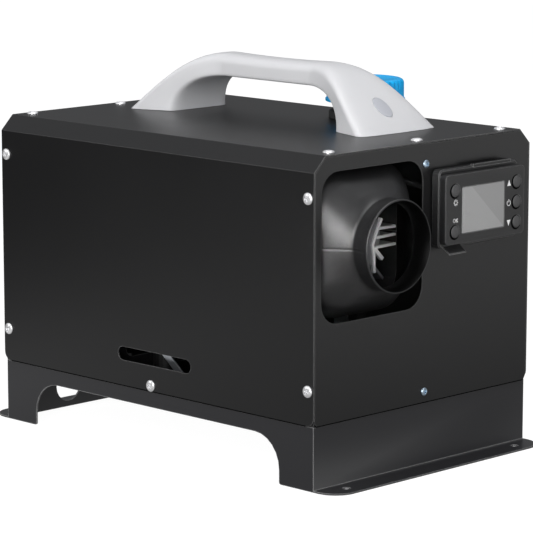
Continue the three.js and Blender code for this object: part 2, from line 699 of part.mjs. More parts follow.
// The breather that sits in the middle of the cap's ceiling.
function capVent() {
  return join(
    rod(capTop - cap.top - 4, capTop - cap.top - gap, 7, latheToZ, 14),
    rod(capTop - cap.top - 1, capTop - 1.5 - gap, 4, latheToZ, 12),
  );
}

// A rubber collar that fills the gap between the neck and the hole in the roof.
function tankCollar() {
  const [inner, seat, lip] = [neck.radius + gap, neck.radius + collar.seat, neck.radius + collar.lip];
  return turned([
    [roofZ - 5, inner], [roofZ - 5, seat - 0.5], [roofZ - shell.sheet, seat], [roofZ + gap, seat],
    [roofZ + gap, lip], [roofZ + collar.height - 1, lip], [roofZ + collar.height, lip - 1],
    [roofZ + collar.height, inner],
  ], latheToZ, 24);
}

// A steel strap over the tank, from a foot on the floor down to the other side.
function tankStrap() {
  const [near, far, top] = [tankY - tank.width / 2 - gap, tankY + tank.width / 2 + gap, tankTop + gap];
  const bottom = floorTop + gap;
  const t = strap.thick;
  const outline = [
    V2(near - strap.foot, bottom), V2(near, bottom), V2(near, top), V2(far, top), V2(far, bottom),
    V2(far + t, bottom), V2(far + t, top + t), V2(near - t, top + t), V2(near - t, bottom + t),
    V2(near - strap.foot, bottom + t),
  ];
  return prismX(outline, -strap.width / 2, strap.width / 2);
}

// ---------------------------------------------------------------- fuel line, filter and pump

const spigotSteps = (from, to) => [[from, 0], [from, hose.radius], [to, hose.radius]];

function tankOutlet() {
  return turned([
    [gap, 0], [gap, 8], [3, 8], [3, 4.5], [6, 4.5], [6, hose.radius], [outlet.length, hose.radius],
    [outlet.length, 0],
  ], latheToMinusY, 14);
}

function fuelFilter() {
  const [h, r] = [filter.length / 2, filter.radius];
  return turned([
    ...spigotSteps(-h, -h + 9), [-h + 13, r], [h - 13, r], [h - 9, hose.radius], [h, hose.radius], [h, 0],
  ], latheToX, 12);
}

function fuelPump() {
  const [h, r, b] = [pump.length / 2, pump.radius, pump.bodyLength / 2];
  return turned([
    ...spigotSteps(-h, -h + 10), [-h + 10, 6], [-b - 4, 6], [-b - 4, 9], [-b, 9], [-b, r - 1], [-b + 1, r],
    [b - 1, r], [b, r - 1], [b, 8], [h - 10, 8], [h - 10, hose.radius], [h, hose.radius], [h, 0],
  ], latheToX, 12);
}

// The rubber clamp that holds the pump, on a foot that stands on the floor.
function pumpMount() {
  const [r, half] = [pump.radius + gap, 9];
  const drop = -(pump.z - shell.sheet) + gap;
  const bodyRing = ring(-half, half, r, r + pump.clamp, latheToX, 20);
  const foot = cut(
    block(-half, half, -7, 7, drop, -r - 1), rod(-half - 1, half + 1, r + 1, latheToX, 20),
  );
  const sole = block(-half, half, -16, 16, drop, drop + 4);
  return join(bodyRing, foot, sole);
}

function outletLine() {
  const [x, y, z] = [tank.x + outlet.x, tankY - tank.width / 2 - outlet.length - gap, tankBottom + outlet.z];
  const [ex, ey, ez] = [filterX - filter.length / 2 - gap, filter.y, floorZ + filter.z];
  return tubeAlong([
    V3(x, y, z), V3(x, y - 7, z), V3(x + 5, y - 16, z + 1),
    V3(x + 16, ey, ez), V3(ex - 8, ey, ez), V3(ex, ey, ez),
  ], hose.radius, hose.sides, 12);
}

function pumpLine() {
  const [x, y, z] = [filterX + filter.length / 2 + gap, filter.y, floorZ + filter.z];
  const [ex, ey, ez] = [pumpX + pump.length / 2 + gap, pump.y, floorZ + pump.z];
  return tubeAlong([
    V3(x, y, z), V3(x + 8, y, z), V3(x + 20, y - 4, z + 5), V3(x + 26, y - 15, z + 13),
    V3(x + 25, ey + 9, ez - 3), V3(ex + 9, ey, ez), V3(ex, ey, ez),
  ], hose.radius, hose.sides, 13);
}

// From the pump past the side of the exhaust pipe and up to the burner's fuel stub.
function deliveryLine() {
  const [x, y, z] = [pumpX - pump.length / 2 - gap, pump.y, floorZ + pump.z];
  const [ex, ey, ez] = [fuelX, heaterY + ports.fuelY, heaterBottom - casting.fuelDrop - gap];
  const aside = heaterY + ports.y + ports.radius + hose.radius + 7;
  return tubeAlong([
    V3(x, y, z), V3(x - 8, y, z), V3(exhaustX + ports.radius, aside, z + 3),
    V3(exhaustX - ports.radius, aside, z + 8), V3(ex, ey, ez - 9), V3(ex, ey, ez),
  ], hose.radius, hose.sides, 16);
}

function fuelParts() {
  const outletPiece = piece('tank_outlet', tankOutlet(), blackPlastic);
  outletPiece.position.set(tank.x + outlet.x, tankY - tank.width / 2, tankBottom + outlet.z);
  const straps = strapPlaces.map((x, i) => {
    const strapPiece = piece(`tank_strap_${i + 1}`, tankStrap(), zinc);
    strapPiece.position.x = x;
    return strapPiece;
  });
  return [
    piece('fuel_tank', fuelTank(), tankPlastic),
    group(
      neckX, neckY, 0,
      piece('tank_collar', tankCollar(), rubber),
      piece('fuel_cap', fuelCap(), bluePlastic),
      piece('cap_seal', capSeal(), rubber),
      piece('cap_vent', capVent(), blackPlastic),
    ),
    ...straps,
    outletPiece,
    piece('outlet_line', outletLine(), hoseGreen),
    group(filterX, filter.y, floorZ + filter.z, piece('fuel_filter', fuelFilter(), clearPlastic)),
    piece('pump_line', pumpLine(), hoseGreen),
    group(
      pumpX, pump.y, floorZ + pump.z,
      piece('fuel_pump', fuelPump(), zinc), piece('pump_mount', pumpMount(), rubber),
    ),
    piece('delivery_line', deliveryLine(), hoseGreen),
  ];
}

// ---------------------------------------------------------------- heater unit, about the nozzle's axis

const jacketOutline = (inset) => roundedRectangle(
  heater.width - 2 * inset, heater.height - 2 * inset, heater.radius - inset, 0, 0, 5,
);

// One half of the plastic jacket: an open channel, with a slot in the lower half for the burner's foot.
function jacketHalf(upper) {
  const tube = prismX(jacketOutline(0), jacketStart, jacketEnd, 0, [jacketOutline(heater.wall)]);
  const [w, h] = [heater.width, heater.height];
  const [low, high] = upper ? [-h, gap / 2] : [-gap / 2, h];
  const half = tube.subtract(block(jacketStart - through, jacketEnd + through, -w, w, low, high));
  const footSlot = block(chamberBack - gap, castingFront + gap, casting.y0 - gap, casting.y1 + gap, -h, 0);
  const leadHole = prismY(circle(lead.radius + 1, 12, leadEnd.x, leadEnd.z), 0, w);
  return upper ? half.subtract(leadHole) : half.subtract(footSlot);
}

// The grille at the fan end: a short collar with a ring and bars across its mouth.
function inletCover() {
  const [start, end] = [jacketStart - heater.grilleDepth, jacketStart - gap];
  const collarSolid = cut(
    prismX(jacketOutline(0), start, end, 2), rod(start - through, end + through, mouthRadius, latheToX, 20),
  );
  const bars = [-30, -15, 0, 15, 30].map((z) => {
    const half = Math.sqrt(mouthRadius ** 2 - z ** 2) + 1;
    return block(start + 2, start + 5, -half, half, z - 1.2, z + 1.2);
  });
  return join(collarSolid, ring(start + 2, start + 5, 19, 22, latheToX, 14), ...bars);
}

// A skin from the jacket's rounded square to the round nozzle, inset by a wall for its inside.
function hoodSkin(inset, from, to) {
  const sides = 28;
  const atAngle = (a) => {
    const [c, s] = [Math.cos(a), Math.sin(a)];
    const [w, h, r] = [heater.width / 2 - inset, heater.height / 2 - inset, heater.radius - inset];
    const flat = Math.min(w / Math.max(Math.abs(c), 1e-9), h / Math.max(Math.abs(s), 1e-9));
    const [cx, cy] = [w - r, h - r];
    const [dx, dy] = [Math.abs(c), Math.abs(s)];
    const along = dx * cx + dy * cy;
    const corner = along + Math.sqrt(Math.max(along ** 2 - (cx ** 2 + cy ** 2 - r ** 2), 0));
    const inCorner = flat * dx > cx && flat * dy > cy;
    return inCorner ? corner : flat;
  };
  const stations = [
    [from, 0], [hoodStart + 7, 0], [hoodStart + 13, 0.12], [hoodStart + 22, 0.42], [hoodStart + 30, 0.72],
    [hoodStart + 38.7, 1], [to, 1],
  ];
  return lofted(stations.map(([x, blend]) => Array.from({ length: sides }, (_, i) => {
    const a = (i * 2 * Math.PI) / sides;
    const r = atAngle(a) * (1 - blend) + (nozzle.radius - inset) * blend;
    return V3(x, r * Math.cos(a), r * Math.sin(a));
  })));
}

function outletHood() {
  const outer = hoodSkin(0, hoodStart, nozzleTip);
  const inner = hoodSkin(nozzle.wall, hoodStart - through, nozzleTip + through);
  const bead = ring(
    nozzleTip - nozzle.beadWidth, nozzleTip, nozzle.radius - 1, nozzle.radius + nozzle.bead, latheToX, 28,
  );
  return cut(join(outer, bead), inner);
}

// A round hole up from a casting's foot, for the pipe that hangs below it.
const portPlace = (x) => new THREE.Matrix4().makeTranslation(x, ports.y, 0).multiply(latheToZ);
const portBore = (x, r) => rod(-heater.height / 2 - through, -20, r - ports.wall, portPlace(x), 20);
const plugPlace = new THREE.Matrix4().makeTranslation(coreStart + plug.x, 0, 0).multiply(latheToZ);

// The cast heat exchanger: a round core with fins along it, and a foot with the exhaust and the fuel stub.
function heatExchanger() {
  const { coreRadius, boreRadius, finPitch, finOffset } = exchanger;
  const half = exchanger.finThick / 2;
  const finY = heater.width / 2 - heater.wall - exchanger.finPlayY;
  const finZ = heater.height / 2 - heater.wall - exchanger.finPlayZ;
  const finStart = castingFront + 8;
  const flatFins = [-1, 0, 1].flatMap((k) => {
    const [y, z] = [k * finPitch, k * finPitch + finOffset];
    return [
      block(finStart, coreEnd, -finY, finY, z - half, z + half),
      block(finStart, coreEnd, y - half, y + half, -finZ, finZ),
    ];
  });
  const slantFins = [45, 135, 225, 315].map((degrees) => {
    const fin = new THREE.BoxGeometry(coreEnd - finStart, exchanger.finReach + 4, exchanger.finThick);
    fin.translate((coreEnd + finStart) / 2, coreRadius + exchanger.finReach / 2 - 2, 0);
    return solidOf(fin.rotateX(THREE.MathUtils.degToRad(degrees)));
  });
  const stubPlace = new THREE.Matrix4().makeTranslation(fuelX, ports.fuelY, 0).multiply(latheToZ);
  const body = join(
    rod(coreStart, coreEnd, coreRadius, latheToX, 20), ...flatFins, ...slantFins,
    block(coreStart + 1, castingFront, casting.y0, casting.y1, -heater.height / 2, 0),
    rod(0, plug.seat, plug.bossRadius, plugPlace, 14),
    rod(-heater.height / 2 - casting.fuelDrop, -heater.height / 2 + 1, hose.radius, stubPlace, 10),
  );
  return cut(
    body, rod(coreStart - through, coreEnd - exchanger.endWall, boreRadius, latheToX, 20),
    rod(0, plug.seat + through, plug.radius + gap, plugPlace, 14), portBore(exhaustX, ports.radius),
  );
}

// The thin steel tube that the flame burns in, open to the fan and with a hole for the glow plug.
function burnerTube() {
  const start = coreStart + gap;
  const tube = ring(start, start + burner.length, burner.radius - burner.wall, burner.radius, latheToX, 16);
  const flange = ring(start, start + 1.5, burner.radius - 1, exchanger.boreRadius - gap, latheToX, 20);
  return cut(join(tube, flange), rod(0, burner.radius + through, plug.tip + gap, plugPlace, 10));
}

function glowPlug() {
  const base = burner.radius + 0.6;
  return turned([
    [15, 0], [15, plug.tip], [base, plug.tip], [base, plug.radius], [plug.seat + gap, plug.radius],
    [plug.seat + gap, plug.headRadius], [plug.seat + 5, plug.headRadius],
    [plug.seat + 5, 3], [plug.seat + 9, 3], [plug.seat + 9, 0],
  ], plugPlace, 10);
}

function burnerPlate() {
  return ring(plateBack, plateFront, 12, exchanger.coreRadius + 4, latheToX, 20);
}

// The chamber of the combustion blower: an open cup on a foot, with the air intake's port below it.
function combustionHousing() {
  const [inner, outer] = [impeller.radius + chamber.play, impeller.radius + chamber.play + chamber.wall];
  const body = join(
    rod(chamberBack, chamberFront, outer, latheToX, 20),
    block(chamberBack, chamberFront, casting.y0, casting.y1, -heater.height / 2, 0),
  );
  return cut(
    body, rod(chamberBack + chamber.wall, chamberFront + through, inner, latheToX, 20),
    rod(chamberBack - through, chamberFront, motor.shaftRadius + 1.5, latheToX, 12),
    portBore(intakeX, ports.intakeRadius),
  );
}

// The combustion blower wheel: a disc with straight vanes on its front.
function combustionImpeller() {
  const back = chamberBack + chamber.wall + 1.5;
  const front = back + impeller.width;
  const disc = rod(back, back + 2, impeller.radius, latheToX, 18);
  const hub = rod(back, front - 3, impeller.hubRadius, latheToX, 12);
  const vanes = Array.from({ length: impeller.vanes }, (_, i) => {
    const [inner, outer] = [impeller.hubRadius - 1.5, impeller.radius - 1];
    const vane = new THREE.BoxGeometry(impeller.width - 1, outer - inner, 1.4);
    vane.translate((back + front + 1) / 2, (outer + inner) / 2, 0);
    return solidOf(vane.rotateX((i * 2 * Math.PI) / impeller.vanes));
  });
  return cut(join(disc, hub, ...vanes), rod(back - 1, front + 1, motor.shaftRadius + gap, latheToX, 12));
}

function blowerMotor() {
  const { radius, shaftRadius } = motor;
  const bore = shaftRadius + gap;
  return turned([
    [motorBack - 2, bore], [motorBack - 2, 7], [motorBack, 7],
    [motorBack, radius - 2], [motorBack + 2, radius],
    [motorFront - 2, radius], [motorFront, radius - 2], [motorFront, bore],
  ], latheToX, 18);
}

function motorShaft() {
  const front = chamberBack + chamber.wall + impeller.width;
  return rod(fanBack + 2, front, motor.shaftRadius, latheToX, 12);
}

// A fan blade: a thin plate whose pitch flattens from the hub to the tip.
function fanBlade(turn) {
  const stations = [0, 0.5, 1];
  const x = fanFront - fan.width / 2;
  const rings = stations.map((s) => {
    const r = fan.hubRadius - 2 + (fan.radius - fan.hubRadius + 2) * s;
    const pitch = THREE.MathUtils.degToRad(58 - 26 * s);
    const half = fan.width / 2 - 1 + 3 * s;
    const [dx, dy] = [Math.cos(pitch) * half, Math.sin(pitch) * half];
    const [tx, ty] = [(-Math.sin(pitch) * fan.bladeThick) / 2, (Math.cos(pitch) * fan.bladeThick) / 2];
    return [[-dx - tx, -dy - ty], [dx - tx, dy - ty], [dx + tx, dy + ty], [-dx + tx, -dy + ty]]
      .map(([a, b]) => V3(x + a, b, r));
  });
  return rings.map((points) => points.map((p) => p.applyAxisAngle(V3(1, 0, 0), turn)));
}

function airWheel() {
  const hub = turned([
    [fanBack, 0], [fanBack, 8], [fanBack + 5, fan.hubRadius - 1.5], [fanBack + 8, fan.hubRadius],
    [fanFront, fan.hubRadius], [fanFront, 0],
  ], latheToX, 18);
  const blades = Array.from({ length: fan.blades }, (_, i) => lofted(
    fanBlade((i * 2 * Math.PI) / fan.blades),
  ));
  const shaftBore = rod(fanBack + 1.5, fanFront + 1, motor.shaftRadius + gap, latheToX, 12);
  return cut(join(hub, ...blades), shaftBore);
}

// The heater's own control unit lies over the motor; the lead plugs into its side.
const brainTop = heater.height / 2 - heater.wall - gap;
const leadEnd = { x: (motorBack + motorFront) / 2, y: brain.width / 2, z: brainTop - brain.height * 0.7 };

function controlUnit() {
  return prismX(
    roundedRectangle(brain.width, brain.height, 3, 0, brainTop - brain.height / 2, 3),
    motorBack + 2, motorFront - 2, 1,
  );
}

function overheatSensor() {
  const base = heater.height / 2 - heater.wall - exchanger.finPlayZ + gap;
  return prismZ(roundedRectangle(16, 12, 3, coreEnd - 40, 0, 3), base, base + 5);
}

// ---------------------------------------------------------------- heater's seat on the floor of the case

const [benchX0, benchX1] = [chamberBack - bench.back, castingFront + bench.front];
const benchTop = -heater.height / 2 - bench.gasket - 2 * gap;
const benchFloor = floorTop + gap - heaterZ;

// The slot that the exhaust, the air intake and the fuel stub pass down through.
function pipeSlot(margin) {
  const [x0, x1] = [intakeX - ports.intakeRadius - 2.5 - margin, exhaustX + ports.radius + 2.5 + margin];
  return slotOutline(x1 - x0, 2 * (ports.radius + 3 + margin), (x0 + x1) / 2, ports.y, 6);
}

function mountingGasket() {
  const [x0, x1] = [chamberBack - 4, castingFront + 4];
  const outline = roundedRectangle(
    x1 - x0, casting.y1 - casting.y0 + 10, 6, (x0 + x1) / 2, (casting.y0 + casting.y1) / 2, 3,
  );
  return prismZ(outline, benchTop + gap, benchTop + gap + bench.gasket, 0, [pipeSlot(0)]);
}

// A bridge of folded sheet that carries the heater: a top, two legs with openings and two toes.
function heaterBench() {
  const { y0, y1, sheet, toe, margin } = bench;
  const outer = block(benchX0, benchX1, y0, y1, benchFloor, benchTop);
  const under = block(benchX0 + sheet, benchX1 - sheet, y0 - 1, y1 + 1, benchFloor - 1, benchTop - sheet);
  const toes = [
    block(benchX0 - toe, benchX0 + sheet, y0, y1, benchFloor, benchFloor + sheet),
    block(benchX1 - sheet, benchX1 + toe, y0, y1, benchFloor, benchFloor + sheet),
  ];
  const [width, height] = [y1 - y0 - 1.6 * margin, benchTop - benchFloor - 1.2 * margin];
  const legOpening = prismX(
    roundedRectangle(width, height, 8, (y0 + y1) / 2, (benchFloor + benchTop) / 2, 3),
    benchX0 - 1, benchX1 + 1,
  );
  const topOpening = prismZ(pipeSlot(1), benchTop - through, benchTop + 1);
  return cut(join(cut(outer, under), ...toes), legOpening, topOpening);
}

// The slanted strap that stiffens the bench on its outer side.
function benchBrace() {
  const { y0, sheet, strapWidth } = bench;
  const top = V2(benchX0 + 20, benchTop - 6);
  const low = V2(benchX1 - 6, benchFloor + 6);
  const along = top.clone().sub(low).normalize().multiplyScalar(strapWidth / 2);
  const side = V2(-along.y, along.x);
  const outline = [
    top.clone().add(along).add(side), top.clone().add(along).sub(side),
    low.clone().sub(along).sub(side), low.clone().sub(along).add(side),
  ].reverse();
  return prismY(outline, y0 - gap - sheet, y0 - gap);
}

function pipe(x, radius) {
  const bottom = floorZ - ports.below - heaterZ;
  return ring(bottom, -heater.height / 2 - gap, radius - ports.wall, radius, portPlace(x), 20);
}

// ---------------------------------------------------------------- lead from the control panel to the heater

function controllerLead() {
  const [x, y, z] = [halfLength + 2 - gap, control.y, floorZ + control.z];
  const end = V3(leadEnd.x, heaterY + leadEnd.y + gap, heaterZ + leadEnd.z);
  const channelY = (heaterY + heater.width / 2 + tankY - tank.width / 2) / 2;
  return tubeAlong([
    V3(x, y, z), V3(x - 12, y, z), V3(x - 26, y - 14, z + 8), V3(x - 42, channelY + 4, z + 22),
    V3(x - 66, channelY, end.z), V3(60, channelY, end.z), V3(-60, channelY, end.z),
    V3(end.x + 3, channelY - 3, end.z), V3(end.x, channelY - 12, end.z), end,
  ], lead.radius, lead.sides, 24);
}

function heaterParts() {
  return [
    group(
      0, heaterY, heaterZ,
      piece('jacket_upper', jacketHalf(true), blackPlastic),
      piece('jacket_lower', jacketHalf(false), blackPlastic),
      piece('inlet_cover', inletCover(), blackPlastic),
      piece('outlet_hood', outletHood(), satinBlackPlastic),
      piece('heat_exchanger', heatExchanger(), castAluminium),
      piece('burner_tube', burnerTube(), stainless),
      piece('glow_plug', glowPlug(), zinc),
      piece('burner_plate', burnerPlate(), castAluminium),
      piece('combustion_housing', combustionHousing(), castAluminium),
      piece('combustion_impeller', combustionImpeller(), fanPlastic),
      piece('blower_motor', blowerMotor(), zinc),
      piece('motor_shaft', motorShaft(), stainless),
      piece('air_wheel', airWheel(), fanPlastic),
      piece('control_unit', controlUnit(), blackPlastic),
      piece('overheat_sensor', overheatSensor(), blackPlastic),
      piece('mounting_gasket', mountingGasket(), rubber),
      piece('heater_bench', heaterBench(), greyPaint),
      piece('bench_brace', benchBrace(), zinc),
      piece('exhaust_pipe', pipe(exhaustX, ports.radius), stainless),
      piece('air_intake_pipe', pipe(intakeX, ports.intakeRadius), blackPlastic),
    ),
    piece('controller_lead', controllerLead(), rubber),
  ];
}

// ---------------------------------------------------------------- the whole heater, over its footprint

const assembly = new THREE.Group();
assembly.add(...caseParts(), handleParts(), controlParts(), ...fuelParts(), ...heaterParts());
assembly.position.x = -(nozzleTip - footX) / 2;

export default assembly;
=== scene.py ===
"""Diesel air heater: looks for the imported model. Lengths are millimetres until a mesh is made."""

import json
import math

import bmesh
import bpy
import numpy as np
from mathutils import Matrix, Vector

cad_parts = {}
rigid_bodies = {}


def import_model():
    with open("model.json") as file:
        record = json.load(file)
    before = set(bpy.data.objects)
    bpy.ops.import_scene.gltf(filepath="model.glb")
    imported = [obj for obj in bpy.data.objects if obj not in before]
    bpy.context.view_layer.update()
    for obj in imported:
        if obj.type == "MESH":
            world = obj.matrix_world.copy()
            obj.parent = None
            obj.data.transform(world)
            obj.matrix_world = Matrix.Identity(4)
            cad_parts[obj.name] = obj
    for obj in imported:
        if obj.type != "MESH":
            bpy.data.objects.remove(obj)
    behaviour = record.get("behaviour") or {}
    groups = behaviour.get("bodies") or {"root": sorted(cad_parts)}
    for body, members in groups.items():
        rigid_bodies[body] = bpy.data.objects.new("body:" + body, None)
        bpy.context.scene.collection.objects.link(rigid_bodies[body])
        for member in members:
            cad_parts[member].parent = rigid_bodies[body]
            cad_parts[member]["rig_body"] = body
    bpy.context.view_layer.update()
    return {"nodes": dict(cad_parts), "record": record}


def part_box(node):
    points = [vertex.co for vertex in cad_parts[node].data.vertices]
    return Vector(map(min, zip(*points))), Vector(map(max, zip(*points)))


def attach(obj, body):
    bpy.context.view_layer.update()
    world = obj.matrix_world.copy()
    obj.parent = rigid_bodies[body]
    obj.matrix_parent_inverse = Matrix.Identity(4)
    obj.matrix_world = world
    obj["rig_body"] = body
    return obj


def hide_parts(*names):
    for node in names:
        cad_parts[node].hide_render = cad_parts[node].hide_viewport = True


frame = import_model()
nodes = frame["nodes"]
slots = {row["node"]: row["material_slot"] for row in frame["record"]["subparts"]}

# ---------------- places taken from the frame

METRE = 1000.0


def node_box(name):
    """A node's lowest and highest corner, in millimetres."""
    return [np.array(corner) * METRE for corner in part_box(name)]


COVER_LOW, COVER_HIGH = node_box("top_cover")
MIDDLE_X = (COVER_LOW[0] + COVER_HIGH[0]) / 2
ROOF_Z, FLOOR_Z = COVER_HIGH[2], COVER_LOW[2]
SIDE_Y = COVER_HIGH[1]
HOOD_LOW, HOOD_HIGH = node_box("outlet_hood")
HEATER_Y = (HOOD_LOW[1] + HOOD_HIGH[1]) / 2
HEATER_Z = (HOOD_LOW[2] + HOOD_HIGH[2]) / 2
BEZEL_LOW, BEZEL_HIGH = node_box("controller_bezel")
BEZEL_Y = (BEZEL_LOW[1] + BEZEL_HIGH[1]) / 2
BEZEL_Z = (BEZEL_LOW[2] + BEZEL_HIGH[2]) / 2
CAP_LOW, CAP_HIGH = node_box("fuel_cap")
CAP_X, CAP_Y = (CAP_LOW[0] + CAP_HIGH[0]) / 2, (CAP_LOW[1] + CAP_HIGH[1]) / 2
FRONT_FACE = node_box("front_panel")[1][0]
REAR_FACE = node_box("rear_panel")[0][0]
EXCHANGER_FACE = node_box("heat_exchanger")[1][0]

# ---------------- camera, light and floor

PHOTO_SIZE = 533
FOCAL_PIXELS = 2920.93
CAMERA = dict(yaw=45.016, pitch=9.971, x=1787.58, y=-1780.08, z=589.31)


def add_object(name, data):
    """A new object in the scene, at the origin."""
    item = bpy.data.objects.new(name, data)
    bpy.context.scene.collection.objects.link(item)
    return item


def make_camera():
    """The photograph's viewpoint: looking down by the pitch, turned by the yaw, with no shift."""
    data = bpy.data.cameras.new("camera")
    data.sensor_width = 36.0
    data.lens = data.sensor_width * FOCAL_PIXELS / PHOTO_SIZE
    data.clip_start, data.clip_end = 0.05, 60.0
    camera = add_object("camera", data)
    place = np.array([CAMERA["x"] + MIDDLE_X, CAMERA["y"], CAMERA["z"]]) / METRE
    camera.location = place.tolist()
    camera.rotation_euler = [math.radians(90 - CAMERA["pitch"]), 0.0, math.radians(CAMERA["yaw"])]
    bpy.context.scene.camera = camera


def area_light(name, place, target, size, power):
    """A flat soft box at a place, facing a target; both in metres."""
    data = bpy.data.lights.new(name, "AREA")
    data.shape, data.size, data.size_y = "RECTANGLE", size[0], size[1]
    data.energy = power
    lamp = add_object(name, data)
    lamp.location = place
    lamp.rotation_euler = (Vector(target) - Vector(place)).to_track_quat("-Z", "Y").to_euler()
    return lamp


def make_sky():
    """White behind the object for the camera; for light and reflections, brighter upwards."""
    world = bpy.data.worlds.new("studio")
    bpy.context.scene.world = world
    world.use_nodes = True
    tree = world.node_tree
    tree.nodes.clear()
    link = tree.links.new
    out = tree.nodes.new("ShaderNodeOutputWorld")
    sky = put(tree, "ShaderNodeBackground", Color=(0.96, 0.97, 1.0, 1))
    backdrop = put(tree, "ShaderNodeBackground", Color=(1, 1, 1, 1), Strength=1.05)
    place = tree.nodes.new("ShaderNodeTexCoord")
    parts = tree.nodes.new("ShaderNodeSeparateXYZ")
    rise = put(tree, "ShaderNodeMapRange", **{
        "From Min": 0.0, "From Max": SKY["top_at"], "To Min": SKY["horizon"], "To Max": SKY["top"]})
    link(place.outputs["Generated"], parts.inputs[0])
    link(parts.outputs["Z"], rise.inputs["Value"])
    link(rise.outputs["Result"], sky.inputs["Strength"])
    path = tree.nodes.new("ShaderNodeLightPath")
    mix = tree.nodes.new("ShaderNodeMixShader")
    link(path.outputs["Is Camera Ray"], mix.inputs["Fac"])
    link(sky.outputs[0], mix.inputs[1])
    link(backdrop.outputs[0], mix.inputs[2])
    link(mix.outputs[0], out.inputs["Surface"])


def floor_material():
    """Nearly white where the camera sees it. What the object mirrors of it is a row of greys from
    one end to the other, like a studio floor lit in places."""
    material = bpy.data.materials.new("floor_white")
    material.use_nodes = True
    tree = material.node_tree
    tree.nodes.clear()
    link = tree.links.new
    out = tree.nodes.new("ShaderNodeOutputMaterial")
    paper = put(tree, "ShaderNodeBsdfDiffuse", Color=(0.86, 0.86, 0.86, 1))
    glow = put(tree, "ShaderNodeEmission", Color=(1, 1, 1, 1), Strength=FLOOR["glow"])
    seen = put(tree, "ShaderNodeMixShader", Fac=FLOOR["lift"])
    link(paper.outputs[0], seen.inputs[1])
    link(glow.outputs[0], seen.inputs[2])
    place = tree.nodes.new("ShaderNodeTexCoord")
    parts = tree.nodes.new("ShaderNodeSeparateXYZ")
    reach = tree.nodes.new("ShaderNodeMapRange")
    first, last = FLOOR["greys"][0][0], FLOOR["greys"][-1][0]
    reach.inputs["From Min"].default_value, reach.inputs["From Max"].default_value = first, last
    greys = tree.nodes.new("ShaderNodeValToRGB")
    for number, (x, grey) in enumerate(FLOOR["greys"]):
        at = (x - first) / (last - first)
        stops = greys.color_ramp.elements
        stop = stops[number] if number < 2 else stops.new(at)
        stop.position, stop.color = at, (grey, grey, grey, 1)
    mirrored = tree.nodes.new("ShaderNodeEmission")
    link(place.outputs["Object"], parts.inputs[0])
    link(parts.outputs["X"], reach.inputs["Value"])
    link(reach.outputs["Result"], greys.inputs["Fac"])
    link(greys.outputs["Color"], mirrored.inputs["Color"])
    path = tree.nodes.new("ShaderNodeLightPath")
    mix = tree.nodes.new("ShaderNodeMixShader")
    link(path.outputs["Is Camera Ray"], mix.inputs["Fac"])
    link(mirrored.outputs[0], mix.inputs[1])
    link(seen.outputs[0], mix.inputs[2])
    link(mix.outputs[0], out.inputs["Surface"])
    return material


SKY = dict(horizon=0.04, top=0.5, top_at=0.75)
FLOOR = dict(side=24, level=-0.0005, lift=0.85, glow=1.15, greys=[
    (-0.8, 0.0), (-0.38, 0.62), (-0.05, 0.3), (0.3, 0.26), (0.6, 0.5), (1.4, 1.1)])
SOFT_BOXES = {
    "key_box": ((1.05, -2.3, 0.95), (0, 0, 0.15), (1.3, 1.7), 44),
    "left_box": ((-1.7, -2.1, 1.15), (0, 0, 0.15), (0.7, 0.7), 11),
    "camera_box": ((2.0, -2.05, 0.5), (0, 0, 0.18), (0.5, 0.5), 7),
    "front_box": ((2.9, -0.4, 1.0), (0.1, 0, 0.15), (1.2, 1.2), 12),
    "top_box": ((0.2, 0.0, 2.6), (0, 0, 0.2), (2.0, 2.0), 23),
    "back_box": ((-1.0, 1.5, 2.7), (0, 0, 0.2), (1.2, 1.2), 3),
}
SNOOT = dict(place=(1.7, -1.75, 0.5), size=(0.12, 0.12), power=0.019, spread=4)


def make_studio():
    """Sky, soft boxes, a narrow lamp into the nozzle, and a pale floor."""
    make_sky()
    for name, (place, target, size, power) in SOFT_BOXES.items():
        area_light(name, place, target, size, power)
    mouth = (HOOD_HIGH[0] / METRE - 0.03, HEATER_Y / METRE - 0.005, HEATER_Z / METRE)
    snoot = area_light("snoot", SNOOT["place"], mouth, SNOOT["size"], SNOOT["power"])
    snoot.data.spread = math.radians(SNOOT["spread"])
    bpy.ops.mesh.primitive_plane_add(size=FLOOR["side"], location=(0, 0, FLOOR["level"]))
    floor = bpy.context.object
    floor.name = "floor"
    floor.data.materials.append(floor_material())
    bpy.context.scene.view_settings.view_transform = "Standard"


# ---------------- finishes


def new_group(name, inputs, outputs):
    """An empty node group with float, colour or vector sockets; returns the group and its ends."""
    kinds = {"value": "NodeSocketFloat", "color": "NodeSocketColor", "vector": "NodeSocketVector"}
    group = bpy.data.node_groups.new(name, "ShaderNodeTree")
    for socket_name, kind, default in inputs:
        socket = group.interface.new_socket(socket_name, in_out="INPUT", socket_type=kinds[kind])
        socket.default_value = default
    for socket_name, kind in outputs:
        group.interface.new_socket(socket_name, in_out="OUTPUT", socket_type=kinds[kind])
    return group, group.nodes.new("NodeGroupInput"), group.nodes.new("NodeGroupOutput")


def put(tree, kind, **settings):
    """A new node with its settings; keys that name a socket set the socket's value."""
    node = tree.nodes.new(kind)
    for key, value in settings.items():
        if key in node.inputs:
            node.inputs[key].default_value = value
        else:
            setattr(node, key, value)
    return node


